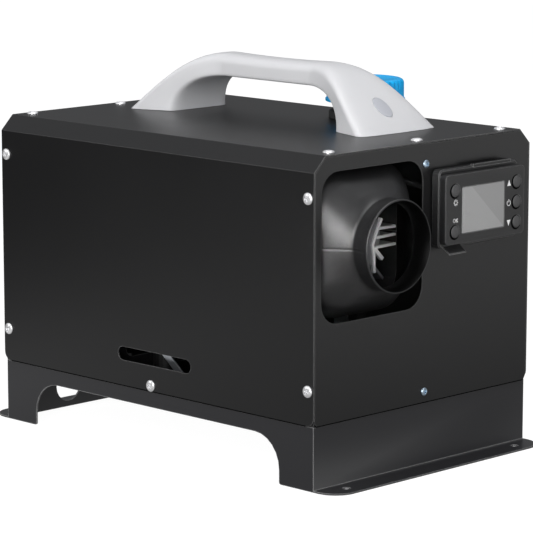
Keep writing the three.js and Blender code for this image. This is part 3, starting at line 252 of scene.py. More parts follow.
def build_surface_grain():
    """Fine relief and slow drift: small noise tilts the normal, large noise varies the colour and
    the roughness."""
    group, start, end = new_group(
        "surface_grain",
        [("Color", "color", (0.5, 0.5, 0.5, 1)), ("Roughness", "value", 0.5),
         ("Grain size", "value", 1.0), ("Relief", "value", 0.1), ("Drift", "value", 0.1),
         ("Speckle", "value", 0.0)],
        [("Color", "color"), ("Roughness", "value"), ("Normal", "vector")],
    )
    link = group.links.new
    place = put(group, "ShaderNodeTexCoord")
    pitch = put(group, "ShaderNodeMath", operation="DIVIDE")
    pitch.inputs[0].default_value = METRE
    link(start.outputs["Grain size"], pitch.inputs[1])
    fine = put(group, "ShaderNodeTexNoise", Detail=2.0, Roughness=0.6)
    link(place.outputs["Object"], fine.inputs["Vector"])
    link(pitch.outputs[0], fine.inputs["Scale"])
    slow = put(group, "ShaderNodeTexNoise", Scale=9.0, Detail=3.0, Roughness=0.55)
    link(place.outputs["Object"], slow.inputs["Vector"])
    bump = put(group, "ShaderNodeBump", Distance=0.00025)
    link(start.outputs["Relief"], bump.inputs["Strength"])
    link(fine.outputs["Fac"], bump.inputs["Height"])
    link(bump.outputs[0], end.inputs["Normal"])
    centred = []
    for noise in (slow, fine):
        shift = put(group, "ShaderNodeMath", operation="SUBTRACT")
        shift.inputs[1].default_value = 0.5
        link(noise.outputs["Fac"], shift.inputs[0])
        centred.append(shift.outputs[0])
    drift = put(group, "ShaderNodeMath", operation="MULTIPLY_ADD")
    drift.inputs[2].default_value = 1.0
    link(centred[0], drift.inputs[0])
    link(start.outputs["Drift"], drift.inputs[1])
    rough = put(group, "ShaderNodeMath", operation="MULTIPLY", use_clamp=True)
    link(start.outputs["Roughness"], rough.inputs[0])
    link(drift.outputs[0], rough.inputs[1])
    link(rough.outputs[0], end.inputs["Roughness"])
    fleck = put(group, "ShaderNodeMath", operation="MULTIPLY_ADD")
    link(centred[1], fleck.inputs[0])
    link(start.outputs["Speckle"], fleck.inputs[1])
    link(drift.outputs[0], fleck.inputs[2])
    tint = put(group, "ShaderNodeVectorMath", operation="SCALE")
    link(start.outputs["Color"], tint.inputs[0])
    link(fleck.outputs[0], tint.inputs["Scale"])
    link(tint.outputs[0], end.inputs["Color"])
    return group


def build_brushing():
    """Streaks along one axis: noise stretched along X, as height and as a roughness mask."""
    group, start, end = new_group(
        "brushing", [("Fineness", "value", 4000.0), ("Relief", "value", 0.1)],
        [("Mask", "value"), ("Normal", "vector")],
    )
    link = group.links.new
    place = put(group, "ShaderNodeTexCoord")
    stretch = put(group, "ShaderNodeMapping")
    stretch.inputs["Scale"].default_value = (0.02, 1.0, 1.0)
    streaks = put(group, "ShaderNodeTexNoise", Detail=2.0)
    bump = put(group, "ShaderNodeBump", Distance=0.0001)
    link(place.outputs["Object"], stretch.inputs["Vector"])
    link(stretch.outputs[0], streaks.inputs["Vector"])
    link(start.outputs["Fineness"], streaks.inputs["Scale"])
    link(streaks.outputs["Fac"], end.inputs["Mask"])
    link(start.outputs["Relief"], bump.inputs["Strength"])
    link(streaks.outputs["Fac"], bump.inputs["Height"])
    link(bump.outputs[0], end.inputs["Normal"])
    return group


def build_edge_highlight():
    """A mask that is one along sharp edges, where painted edge highlights go: how far the normal
    rounded over a radius leans from the true one."""
    group, start, end = new_group("edge_highlight", [("Radius", "value", 0.001), ("Gain", "value", 6.0)],
                                  [("Mask", "value")])
    link = group.links.new
    rounded = put(group, "ShaderNodeBevel", samples=6)
    true = put(group, "ShaderNodeNewGeometry")
    along = put(group, "ShaderNodeVectorMath", operation="DOT_PRODUCT")
    lean = put(group, "ShaderNodeMath", operation="SUBTRACT")
    lean.inputs[0].default_value = 1.0
    mask = put(group, "ShaderNodeMath", operation="MULTIPLY", use_clamp=True)
    link(start.outputs["Radius"], rounded.inputs["Radius"])
    link(rounded.outputs[0], along.inputs[0])
    link(true.outputs["True Normal"], along.inputs[1])
    link(along.outputs["Value"], lean.inputs[1])
    link(lean.outputs[0], mask.inputs[0])
    link(start.outputs["Gain"], mask.inputs[1])
    link(mask.outputs[0], end.inputs["Mask"])
    return group


GRAIN = build_surface_grain()
BRUSHING = build_brushing()
EDGE_HIGHLIGHT = build_edge_highlight()


def new_material(name):
    """A material with its node tree and the shader in it."""
    material = bpy.data.materials.new(name)
    material.use_nodes = True
    return material, material.node_tree, material.node_tree.nodes["Principled BSDF"]


def grained(name, color, roughness, grain, relief, drift=0.15, speckle=0.0, **shader_settings):
    """A moulded, cast or coated finish: the grain group drives colour, roughness and normal."""
    material, tree, shader = new_material(name)
    link = tree.links.new
    group = put(tree, "ShaderNodeGroup", node_tree=GRAIN)
    values = {"Color": (*color, 1), "Roughness": roughness, "Grain size": grain, "Relief": relief,
              "Drift": drift, "Speckle": speckle}
    for key, value in values.items():
        group.inputs[key].default_value = value
    link(group.outputs["Color"], shader.inputs["Base Color"])
    link(group.outputs["Roughness"], shader.inputs["Roughness"])
    link(group.outputs["Normal"], shader.inputs["Normal"])
    for key, value in shader_settings.items():
        shader.inputs[key.replace("_", " ")].default_value = value
    return material


def with_painted_edge_highlights(material, color, radius=0.0009, gain=5.0):
    """Painted highlight: the finish turns to a paler colour along its sharp edges, standing in for
    the light that the edges catch.
    """
    tree = material.node_tree
    shader = tree.nodes["Principled BSDF"]
    link = tree.links.new
    highlight_edges = put(tree, "ShaderNodeGroup", node_tree=EDGE_HIGHLIGHT)
    highlight_edges.inputs["Radius"].default_value, highlight_edges.inputs["Gain"].default_value = radius, gain
    blend = put(tree, "ShaderNodeMix", data_type="RGBA")
    pale = [socket for socket in blend.inputs if socket.name == "B" and socket.type == "RGBA"][0]
    under = [socket for socket in blend.inputs if socket.name == "A" and socket.type == "RGBA"][0]
    result = [socket for socket in blend.outputs if socket.type == "RGBA"][0]
    pale.default_value = (*color, 1)
    link(shader.inputs["Base Color"].links[0].from_socket, under)
    link(highlight_edges.outputs["Mask"], blend.inputs[0])
    link(result, shader.inputs["Base Color"])
    return material


def brushed(name, color, roughness):
    """A drawn or ground metal: the brushing group tilts the normal and varies the roughness."""
    material, tree, shader = new_material(name)
    link = tree.links.new
    group = put(tree, "ShaderNodeGroup", node_tree=BRUSHING)
    group.inputs["Relief"].default_value = 0.15
    vary = put(tree, "ShaderNodeMath", operation="MULTIPLY_ADD", use_clamp=True)
    vary.inputs[1].default_value = 0.2
    vary.inputs[2].default_value = roughness - 0.1
    link(group.outputs["Mask"], vary.inputs[0])
    link(vary.outputs[0], shader.inputs["Roughness"])
    link(group.outputs["Normal"], shader.inputs["Normal"])
    shader.inputs["Base Color"].default_value = (*color, 1)
    shader.inputs["Metallic"].default_value = 1.0
    return material


def shade_painted_inside(material, amount=0.9):
    """Painted shade: where a mesh's own "inside" attribute is one, the finish loses its sheen and
    most colour, standing in for the shade in a recess.
    """
    tree = material.node_tree
    shader = tree.nodes["Principled BSDF"]
    link = tree.links.new
    mask = put(tree, "ShaderNodeAttribute", attribute_name="inside")
    keep = put(tree, "ShaderNodeMath", operation="MULTIPLY_ADD")
    keep.inputs[1].default_value, keep.inputs[2].default_value = -amount, 1.0
    sheen = put(tree, "ShaderNodeMath", operation="MULTIPLY")
    sheen.inputs[1].default_value = shader.inputs["Specular IOR Level"].default_value
    tint = put(tree, "ShaderNodeVectorMath", operation="SCALE")
    link(mask.outputs["Fac"], keep.inputs[0])
    link(keep.outputs[0], sheen.inputs[0])
    link(sheen.outputs[0], shader.inputs["Specular IOR Level"])
    link(shader.inputs["Base Color"].links[0].from_socket, tint.inputs[0])
    link(keep.outputs[0], tint.inputs["Scale"])
    link(tint.outputs[0], shader.inputs["Base Color"])
    return material


def screen_with_painted_reflection(name, light, dark, roughness):
    """The switched-off screen with a painted reflection: a lighter and a darker grey meet along a
    slanted line across it.
    """
    material, tree, shader = new_material(name)
    link = tree.links.new
    # the lighter and the darker grey of the painted reflection meet along the slanted line below
    place = tree.nodes.new("ShaderNodeTexCoord")
    across = put(tree, "ShaderNodeVectorMath", operation="DOT_PRODUCT")
    slant = np.array([0, SCREEN["height"], SCREEN["width"] * SCREEN["slant"]])
    slant = slant / np.linalg.norm(slant)
    across.inputs[1].default_value = slant.tolist()
    corner = np.array([0, BEZEL_Y + SCREEN["y"] + SCREEN["width"] / 2,
                       BEZEL_Z + SCREEN["z"] - SCREEN["height"] / 2])
    line, half = float(slant @ corner) / METRE, 0.0003
    step = put(tree, "ShaderNodeMapRange", **{"From Min": line - half, "From Max": line + half})
    shift = put(tree, "ShaderNodeVectorMath", operation="SCALE")
    shift.inputs[0].default_value = [d - l for d, l in zip(dark, light)]
    total = put(tree, "ShaderNodeVectorMath", operation="ADD")
    total.inputs[1].default_value = light
    link(place.outputs["Object"], across.inputs[0])
    link(across.outputs["Value"], step.inputs["Value"])
    link(step.outputs["Result"], shift.inputs["Scale"])
    link(shift.outputs[0], total.inputs[0])
    link(total.outputs[0], shader.inputs["Base Color"])
    shader.inputs["Roughness"].default_value = roughness
    return material


# the screen's place and size; slant tilts the line where its painted reflection changes grey
SCREEN = dict(y=-2.6, z=-1.6, width=54, height=39, slant=0.78)

LOOKS = {
    # black paint, grey paint and black plastic carry painted edge highlights: a paler colour along
    # their sharp edges
    "black_paint": with_painted_edge_highlights(grained("black_paint", (0.006, 0.006, 0.0063), 0.36, 0.55, 0.07, 0.12),
                          (0.17, 0.17, 0.17)),
    "grey_paint": with_painted_edge_highlights(grained("grey_paint", (0.019, 0.019, 0.021), 0.3, 0.55, 0.12, 0.15),
                         (0.26, 0.26, 0.26), 0.0012, 8.0),
    "handle_plastic": grained("handle_plastic", (0.635, 0.635, 0.65), 0.42, 0.35, 0.05, 0.06),
    "plug_plastic": grained("plug_plastic", (0.45, 0.46, 0.50), 0.5, 0.3, 0.06, 0.06),
    "black_plastic": with_painted_edge_highlights(grained("black_plastic", (0.013, 0.013, 0.0135), 0.4, 0.3, 0.18, 0.1),
                            (0.20, 0.20, 0.20), 0.0009, 10.0),
    # the hood's inner skin gets painted shade
    "hood_plastic": shade_painted_inside(
        grained("hood_plastic", (0.008, 0.008, 0.0085), 0.40, 0.4, 0.05, 0.12,
                Specular_IOR_Level=0.75)),
    "key_rubber": grained("key_rubber", (0.062, 0.062, 0.063), 0.6, 0.25, 0.1, 0.1),
    "rubber": grained("rubber", (0.012, 0.012, 0.012), 0.7, 0.4, 0.15, 0.15),
    # the screen's two greys are a painted reflection
    "display_glass": screen_with_painted_reflection("display_glass", (0.315, 0.315, 0.315), (0.27, 0.27, 0.27), 0.2),
    "display_grey": grained("display_grey", (0.15, 0.16, 0.15), 0.5, 0.5, 0.02, 0.05),
    "board_green": grained("board_green", (0.012, 0.10, 0.035), 0.4, 1.5, 0.03, 0.2),
    "tank_plastic": grained("tank_plastic", (0.012, 0.012, 0.012), 0.6, 2.5, 0.12, 0.08),
    "blue_plastic": grained("blue_plastic", (0.0, 0.42, 0.88), 0.4, 0.4, 0.06, 0.08,
                            Specular_IOR_Level=0.3),
    "clear_plastic": grained("clear_plastic", (0.75, 0.78, 0.78), 0.15, 2.0, 0.03, 0.05),
    "hose_green": grained("hose_green", (0.05, 0.28, 0.08), 0.45, 1.0, 0.05, 0.1),
    "cast_aluminium": grained("cast_aluminium", (0.30, 0.30, 0.31), 0.5, 0.8, 0.28, 0.3, 0.1,
                              Metallic=0.6),
    "screw_steel": grained("screw_steel", (0.93, 0.93, 0.94), 0.36, 1.2, 0.05, 0.2, 0.05,
                           Metallic=0.8),
    "print_white": grained("print_white", (0.88, 0.88, 0.88), 0.5, 0.3, 0.02, 0.05),
    # near-black for the real dark joint at the housing's foot and for the painted shadows beside
    # the keys
    "gap_and_shadow_black": grained("gap_and_shadow_black", (0.0008, 0.0008, 0.0008), 0.8, 0.5, 0.0, 0.1,
                         Specular_IOR_Level=0.05),
    "bare_aluminium": grained("bare_aluminium", (0.92, 0.92, 0.93), 0.5, 0.8, 0.3, 0.2, 0.1),
    "blue_zinc": grained("blue_zinc", (0.55, 0.68, 0.80), 0.3, 1.4, 0.12, 0.35, 0.12,
                         Metallic=1.0),
    "zinc": grained("zinc", (0.72, 0.75, 0.80), 0.3, 1.4, 0.12, 0.35, 0.12, Metallic=1.0),
    "stainless": brushed("stainless", (0.60, 0.59, 0.56), 0.32),
    "fan_plastic": grained("fan_plastic", (0.02, 0.021, 0.024), 0.5, 0.4, 0.12, 0.1),
}

# ---------------- surfaces as arrays

SHARP_ANGLE = 35.0


def circle(sides):
    """Unit circle points: cosine and sine of evenly spaced angles."""
    a = np.arange(sides) * 2 * np.pi / sides
    return np.column_stack([np.cos(a), np.sin(a)])


def rounded_rectangle(width, height, radius, steps=10):
    """Outline of a rectangle with round corners: four quarter circles, anticlockwise from +x."""
    a = np.linspace(0, np.pi / 2, steps + 1)
    x, y = width / 2 - radius, height / 2 - radius
    corners = [(x, y, 0), (-x, y, 1), (-x, -y, 2), (x, -y, 3)]
    parts = []
    for cx, cy, quarter in corners:
        turn = a + quarter * np.pi / 2
        parts.append(np.column_stack([cx + radius * np.cos(turn), cy + radius * np.sin(turn)]))
    return np.vstack(parts)


def skin(name, grid, look, closed_along=False, smooth=SHARP_ANGLE):
    """A mesh over grid[i, j], ring i and point j round it. Each ring is closed; the rings close on
    themselves too, or a face shuts each end. The volume's sign turns the faces outwards."""
    rings, count = grid.shape[:2]
    steps = rings if closed_along else rings - 1
    i, j = np.meshgrid(np.arange(steps), np.arange(count), indexing="ij")
    i, j = i.ravel(), j.ravel()
    near, far = i * count, ((i + 1) % rings) * count
    along = (j + 1) % count
    quads = np.column_stack([near + j, near + along, far + along, far + j])
    points = grid.reshape(-1, 3)
    a, b, c, d = (points[quads[:, k]] for k in range(4))
    volume = (a * np.cross(b, c)).sum() + (a * np.cross(c, d)).sum()
    faces = quads.tolist()
    if not closed_along:
        first, last = list(range(count))[::-1], list(range((rings - 1) * count, rings * count))
        for ring in (first, last):
            p = points[ring]
            volume += (p[0] * np.cross(p[1:-1], p[2:])).sum()
            faces.append(ring)
    if volume < 0:
        faces = [face[::-1] for face in faces]
    return new_piece(name, points, faces, look, smooth)


def new_piece(name, points, faces, look, smooth=SHARP_ANGLE):
    """An object at the origin whose mesh holds its place; points come in millimetres."""
    mesh = bpy.data.meshes.new(name)
    mesh.from_pydata((np.asarray(points) / METRE).tolist(), [], faces)
    mesh.validate()
    mesh.materials.append(LOOKS[look])
    shade(mesh, smooth)
    piece = add_object(name, mesh)
    return piece


def shade(mesh, angle):
    """Smooth shading that stays sharp where faces meet at more than the angle."""
    mesh.polygons.foreach_set("use_smooth", [True] * len(mesh.polygons))
    mesh.set_sharp_from_angle(angle=math.radians(angle))
    mesh.update()


AXES = {"x": np.array([[0, 1, 0], [0, 0, 1], [1, 0, 0]], float), "z": np.eye(3)}


def turned(name, profile, place, axis, look, sides=64, smooth=SHARP_ANGLE):
    """A closed profile of (along, radius) pairs turned about an axis through a place."""
    profile = np.asarray(profile, float)
    ring = circle(sides)
    flat = profile[:, 1][:, None, None] * ring[None]
    along = np.broadcast_to(profile[:, 0][:, None, None], (len(profile), sides, 1))
    local = np.concatenate([flat, along], axis=2)
    grid = local @ AXES[axis] + np.asarray(place, float)
    piece = skin(name, grid, look, closed_along=True, smooth=smooth)
    merge_close(piece)
    return piece


def merge_close(piece, distance=1e-6):
    """Points that fall together, as on a turned piece's axis, become one."""
    work = bmesh.new()
    work.from_mesh(piece.data)
    bmesh.ops.remove_doubles(work, verts=work.verts, dist=distance)
    bmesh.ops.dissolve_degenerate(work, edges=work.edges, dist=distance)
    work.to_mesh(piece.data)
    work.free()


def rounded_edge(low, high, edge, steps=5):
    """(along, inset) pairs of a plate's side: a quarter circle at each end of a straight run."""
    a = np.linspace(0, np.pi / 2, steps + 1)
    start = [(low + edge * (1 - math.sin(t)), edge * (1 - math.cos(t))) for t in a[::-1]]
    finish = [(high - edge * (1 - math.sin(t)), edge * (1 - math.cos(t))) for t in a]
    return start + finish


def slab(name, width, height, radius, low, high, edge, place, axis, look, corner_steps=10):
    """A rounded rectangle drawn out along an axis, with its front and back edges rounded."""
    rings = []
    for along, inset in rounded_edge(low, high, edge):
        corner = max(radius - inset, 0.2)
        outline = rounded_rectangle(width - 2 * inset, height - 2 * inset, corner, corner_steps)
        rings.append(np.column_stack([outline, np.full(len(outline), along)]))
    return skin(name, np.array(rings) @ AXES[axis] + np.asarray(place, float), look)


def one_finish(mesh, material):
    """The whole mesh gets one material and the usual shading."""
    mesh.materials.clear()
    mesh.materials.append(material)
    mesh.polygons.foreach_set("material_index", [0] * len(mesh.polygons))
    shade(mesh, SHARP_ANGLE)


def carve(piece, cutters):
    """Takes the cutters' shapes out of a piece and removes the cutters."""
    for cutter in cutters:
        change = piece.modifiers.new("carve", "BOOLEAN")
        change.operation, change.solver, change.object = "DIFFERENCE", "EXACT", cutter
    bpy.context.view_layer.update()
    evaluated = piece.evaluated_get(bpy.context.evaluated_depsgraph_get())
    mesh = bpy.data.meshes.new_from_object(evaluated)
    piece.modifiers.clear()
    material = piece.data.materials[0]
    piece.data = mesh
    one_finish(mesh, material)
    for cutter in cutters:
        bpy.data.objects.remove(cutter)
    return piece


def soften(piece, width, segments=2, angle=30.0):
    """Rounds the piece's sharp edges by a small width."""
    bevel = piece.modifiers.new("edge", "BEVEL")
    bevel.width, bevel.segments = width / METRE, segments
    bevel.limit_method, bevel.angle_limit = "ANGLE", math.radians(angle)
    bevel.harden_normals = True
    return piece


def mark_bends(mesh, cut_share):
    """Weights for the bevel: one at a long bend of about 45 degrees, a share at a cut edge."""
    flat_below, bend_below, bend_length = 25, 62, 0.05
    work = bmesh.new()
    work.from_mesh(mesh)
    weight = work.edges.layers.float.new("bevel_weight_edge")
    for edge in work.edges:
        angle = math.degrees(edge.calc_face_angle(0.0))
        bend = angle < bend_below and edge.calc_length() > bend_length
        edge[weight] = 0.0 if angle < flat_below else 1.0 if bend else cut_share
    work.to_mesh(mesh)
    work.free()


def from_cad(node, look, width=0.0):
    """A copy of a CAD node with whole flat faces and rounded edges; it stands for the node."""
    mesh = nodes[node].data.copy()
    mesh.name = node + "_finished"
    work = bmesh.new()
    work.from_mesh(mesh)
    bmesh.ops.remove_doubles(work, verts=work.verts, dist=2e-6)
    bmesh.ops.dissolve_limit(
        work, angle_limit=math.radians(0.3), verts=work.verts, edges=work.edges)
    work.to_mesh(mesh)
    work.free()
    one_finish(mesh, LOOKS[look])
    piece = add_object(node + "_finished", mesh)
    if width:
        soften(piece, width)
    return set_in(piece, node)


def set_in(piece, node):
    """A new piece takes a CAD node's place and body."""
    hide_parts(node)
    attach(piece, nodes[node]["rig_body"])
    return piece


# ---------------- handle

HANDLE = dict(
    x=-7, y=28.6, foot_inner=99.6, foot_outer=146.6, clear_height=33.5, height=53.6,
    flat_half=52.2, dip=0.9, grip_half=17, foot_inner_half=34.6, foot_outer_half=50, end_bulge=2,
    plug_across=8, plug_along=11.5, plug_thick=3, slope_at=0.19,
)
# The two pulls of each side curve: how far in from the foot, and at which share of the height.
INNER_PULLS = ((1.9, 0.92), (36.2, 1.0))
OUTER_PULLS = ((44.85, 0.715), (58.5, 1.035))
CLEARANCE = 0.3


def bezier(points, t):
    """A cubic curve: the four points weighted by the powers of t and of one minus t."""
    t = np.asarray(t)[:, None]
    p = np.asarray(points, float)
    return ((1 - t) ** 3 * p[0] + 3 * (1 - t) ** 2 * t * p[1]
            + 3 * (1 - t) * t ** 2 * p[2] + t ** 3 * p[3])


def handle_edges(t):
    """The handle's inner and outer edge in side view, from the foot (t=0) to the grip (t=1)."""
    curves = []
    for foot, height, pulls in ((HANDLE["foot_inner"], HANDLE["clear_height"], INNER_PULLS),
                                (HANDLE["foot_outer"], HANDLE["height"], OUTER_PULLS)):
        middle = [(foot - reach, height * share) for reach, share in pulls]
        curves.append(bezier([(foot, CLEARANCE), *middle, (HANDLE["flat_half"], height)], t))
    return curves


def handle_grid(stations=56, sides=96):
    """Rings between the inner and outer edge, nearly sharp on the inner side and crowned on the
    outer. The crown grows squarer and the sides wider towards the foot, as the spread rises."""
    t = np.linspace(0, 1, stations)
    inner, outer = handle_edges(t)
    ease, grip_half = 0.15, HANDLE["grip_half"]
    spread = np.sqrt((1 - t) ** 2 + ease ** 2)[:, None] - ease
    spread /= math.sqrt(1 + ease ** 2) - ease
    half_in = grip_half + (HANDLE["foot_inner_half"] - grip_half) * spread
    half_out = grip_half + (HANDLE["foot_outer_half"] - grip_half) * spread
    ring = circle(sides)
    edge_power, grip_power, foot_power = 9, 2.8, 6.6
    crown_power = grip_power + (foot_power - grip_power) * spread
    power = np.where(ring[:, 1] < 0, 2 / edge_power, 2 / crown_power)
    across = np.sign(ring[:, 0]) * np.abs(ring[:, 0]) ** power
    out = (np.sign(ring[:, 1]) * np.abs(ring[:, 1]) ** power + 1) / 2
    bulge = HANDLE["end_bulge"] * spread * out * across ** 2
    x = inner[:, 0:1] + (outer[:, 0:1] - inner[:, 0:1]) * out - bulge
    z = inner[:, 1:2] + (outer[:, 1:2] - inner[:, 1:2]) * out
    y = across * (half_in + (half_out - half_in) * out)
    front = np.stack([x, y, z], axis=2)
    rear = front * np.array([-1, 1, 1])
    grip = np.linspace(-1, 1, 15)[1:-1, None]
    middle = np.repeat(front[-1:], len(grip), axis=0)
    middle[:, :, 0] *= grip
    middle[:, :, 2] -= HANDLE["dip"] * (1 - grip ** 2) * out[-1:]
    return np.concatenate([rear, middle, front[::-1]]) + handle_centre()


def handle_centre():
    """The middle of the handle at the roof."""
    return np.array([MIDDLE_X + HANDLE["x"], HANDLE["y"], ROOF_Z])


def slope_frame(side):
    """The place and the axes of the plug on an end slope: across, down the slope, and out of it."""
    t = HANDLE["slope_at"]
    _, outer = handle_edges([t - 1e-3, t, t + 1e-3])
    step = outer[2] - outer[0]
    step = step / np.linalg.norm(step)
    down = np.array([-step[0] * side, 0, -step[1]])
    out = np.array([step[1] * side, 0, -step[0]])
    place = handle_centre() + np.array([outer[1, 0] * side, 0, outer[1, 1]])
    return place, np.array([[0, 1, 0], down, out])


def slope_oval(name, side, grow, low, high, edge):
    """An oval plate square to the slope, between two heights over it, with a rounded top edge."""
    place, axes = slope_frame(side)
    rings = []
    for along, inset in rounded_edge(low, high, edge):
        across = HANDLE["plug_across"] + grow - inset
        length = HANDLE["plug_along"] + grow - inset
        rings.append(np.column_stack([circle(48) * [across, length], np.full(48, along)]))
    return skin(name, np.array(rings) @ axes + place, "plug_plastic")


def make_handle():
    """The moulded handle with a pocket on each slope, and the oval plug that fills each pocket."""
    handle = skin("carrying_handle", handle_grid(), "handle_plastic", smooth=50)
    floor = -HANDLE["plug_thick"] - CLEARANCE
    pockets = [slope_oval(f"pocket_{side}", side, 0.35, floor, 12, 0.01) for side in (1, -1)]
    set_in(carve(handle, pockets), "handle")
    handle.modifiers.new("even_normals", "WEIGHTED_NORMAL").keep_sharp = True
    for name, side in (("front", 1), ("rear", -1)):
        plug = slope_oval(f"plug_{name}", side, 0.0, -HANDLE["plug_thick"], 0.35, 0.5)
        set_in(plug, f"handle_plug_{name}")


# ---------------- outlet hood and nozzle

NOZZLE = dict(radius=37.5, wall=2.5, bead=1.2, bead_width=3)
JACKET = dict(width=115, height=122, radius=30)
HOOD_STATIONS = [(0, 0), (7, 0), (13, 0.12), (22, 0.42), (30, 0.72), (38.7, 1)]
PARTING_GROOVE = 0.13


def polar_rectangle(angles, width, height, radius):
    """Distance from the middle to a rounded rectangle's outline at each angle: to the flat side
    where the ray meets it first, and otherwise to the corner's circle."""
    c, s = np.abs(np.cos(angles)), np.abs(np.sin(angles))
    w, h = width / 2, height / 2
    flat = np.minimum(w / np.maximum(c, 1e-9), h / np.maximum(s, 1e-9))
    cx, cy = w - radius, h - radius
    along = c * cx + s * cy
    corner = along + np.sqrt(np.maximum(along ** 2 - (cx ** 2 + cy ** 2 - radius ** 2), 0))
    return np.where((flat * c > cx) & (flat * s > cy), corner, flat)


def hood_radii(offsets, angles, inset):
    """Radius of the hood's skin at each distance from its start: the jacket's rounded square blends
    into the nozzle's circle by a smooth curve through the stations."""
    x, y = np.array(HOOD_STATIONS, float).T
    blend = smooth_through(x, y, np.clip(offsets, 0, x[-1]))[:, None]
    square = polar_rectangle(angles, JACKET["width"] - 2 * inset, JACKET["height"] - 2 * inset,
                             JACKET["radius"] - inset)
    return square[None] * (1 - blend) + (NOZZLE["radius"] - inset) * blend


def smooth_through(x, y, at):
    """A curve through points that never overshoots them: cubic pieces whose slopes are the harmonic
    means of the neighbouring steps."""
    step, rise = np.diff(x), np.diff(y)
    slope = rise / step
    product, total = slope[:-1] * slope[1:], slope[:-1] + slope[1:] + 1e-12
    middle = np.where(product > 0, 2 * product / total, 0)
    ends = np.concatenate([[0], middle, [0]])
    k = np.clip(np.searchsorted(x, at, side="right") - 1, 0, len(step) - 1)
    u = (at - x[k]) / step[k]
    return ((1 + 2 * u) * (1 - u) ** 2 * y[k] + u * (1 - u) ** 2 * step[k] * ends[k]
            + u ** 2 * (3 - 2 * u) * y[k + 1] + u ** 2 * (u - 1) * step[k] * ends[k + 1])


def make_hood():
    """Outer skin, rolled bead at the rim, and inner skin back to the start, as one closed sleeve.
    A fine groove runs along each side, where the moulded halves part."""
    start, length = HOOD_LOW[0], HOOD_HIGH[0] - HOOD_LOW[0]
    near_line = np.array([-0.016, -0.006, 0.006, 0.016])
    even = np.arange(128) * 2 * np.pi / 128
    angles = np.unique(np.concatenate(
        [even, near_line[2:], np.pi + near_line, 2 * np.pi + near_line[:2]]))
    groove = PARTING_GROOVE * (np.abs(np.sin(angles)) < 0.008)
    tube_at = HOOD_STATIONS[-1][0]
    outer_at = np.concatenate([np.linspace(0, tube_at, 40), [length - NOZZLE["bead_width"] - 1.0]])
    inner_at = np.concatenate([[length - 8.0], np.linspace(tube_at, 0, 34)])
    outer = hood_radii(outer_at, angles, 0) - groove
    inner = hood_radii(inner_at, angles, NOZZLE["wall"])
    turn = np.linspace(-np.pi / 2, np.pi / 2, 9)
    bead_at = length - NOZZLE["bead_width"] / 2 + np.sin(turn) * NOZZLE["bead_width"] / 2
    round_it = np.zeros_like(angles)
    bead = (NOZZLE["radius"] + NOZZLE["bead"] * np.cos(turn))[:, None] + round_it
    mouth_at = np.array([length - 0.15, length - 0.9])
    mouth = np.array([NOZZLE["radius"] - 0.3, NOZZLE["radius"] - 0.8])[:, None] + round_it
    at = np.concatenate([outer_at, bead_at, mouth_at, inner_at])
    radii = np.concatenate([outer, bead, mouth, inner])
    grid = np.stack([
        np.broadcast_to(start + at[:, None], radii.shape),
        HEATER_Y + radii * np.cos(angles), HEATER_Z + radii * np.sin(angles)], axis=2)
    hood = skin("outlet_hood_skin", grid, "hood_plastic", closed_along=True, smooth=40)
    # the inner skin is marked for the painted shade inside the nozzle
    within = np.arange(len(at)) >= len(outer_at) + len(bead_at)
    inside = hood.data.attributes.new("inside", "FLOAT", "POINT")
    inside.data.foreach_set("value", np.repeat(within, len(angles)).astype(float))
    set_in(hood, "outlet_hood")


# ---------------- fuel cap and collar

NECK_RADIUS = 27.5


def make_cap():
    """The cap: a ribbed side whose radius swings with the angle, a rounded crown and a small skirt.
    The profile's rows are height, radius and the share of the ribs' depth."""
    top, bottom = CAP_HIGH[2], CAP_LOW[2]
    outer = (CAP_HIGH[0] - CAP_LOW[0]) / 2
    profile = [
        (bottom, outer - 6.2, 0), (bottom, outer - 0.5, 0), (bottom + 0.4, outer, 0),
        (bottom + 2.4, outer, 0), (bottom + 2.9, outer - 0.8, 0), (bottom + 3.6, outer - 1, 0.6),
        (bottom + 5, outer - 1, 1), (top - 3.4, outer - 1, 1), (top - 2.2, outer - 1.4, 0.8),
        (top - 1.0, outer - 2.4, 0.2), (top - 0.3, outer - 3.8, 0), (top, outer - 5.6, 0),
        (top, outer - 9, 0), (top - 0.5, outer - 9.6, 0), (top - 0.5, 6, 0),
        (top - 0.5, 0.001, 0), (top - 3.2, 0.001, 0), (top - 3.4, outer - 6.2, 0),
    ]
    along, radius, ribbed = np.array(profile).T
    sides, ribs, depth = 360, 36, 1.6
    angles = np.arange(sides) * 2 * np.pi / sides
    wave = (0.5 - 0.5 * np.cos(angles * ribs)) ** 2
    radii = radius[:, None] - ribbed[:, None] * depth * wave[None]
    grid = np.stack([
        CAP_X + radii * np.cos(angles), CAP_Y + radii * np.sin(angles),
        np.broadcast_to(along[:, None], radii.shape)], axis=2)
    cap = skin("fuel_cap_shell", grid, "blue_plastic", closed_along=True, smooth=40)
    merge_close(cap, 5e-6)
    set_in(cap, "fuel_cap")


def make_collar():
    """The rubber collar between the filler neck and the roof, with a lip over the roof's hole."""
    low, high = node_box("tank_collar")
    seat, lip = NECK_RADIUS + 2, (high[0] - low[0]) / 2
    collar = turned("neck_collar", [
        (low[2], NECK_RADIUS + CLEARANCE), (low[2], seat - 0.5), (ROOF_Z - 1.2, seat),
        (ROOF_Z + CLEARANCE, seat), (ROOF_Z + CLEARANCE, lip - 0.3), (ROOF_Z + 0.6, lip),
        (high[2] - 1.6, lip), (high[2] - 0.8, lip - 0.3), (high[2] - 0.2, lip - 1),
        (high[2], lip - 1.8), (high[2], NECK_RADIUS + 0.8),
        (high[2] - 0.5, NECK_RADIUS + CLEARANCE)], (CAP_X, CAP_Y, 0), "z", "rubber", 96)
    set_in(collar, "tank_collar")


# ---------------- control panel

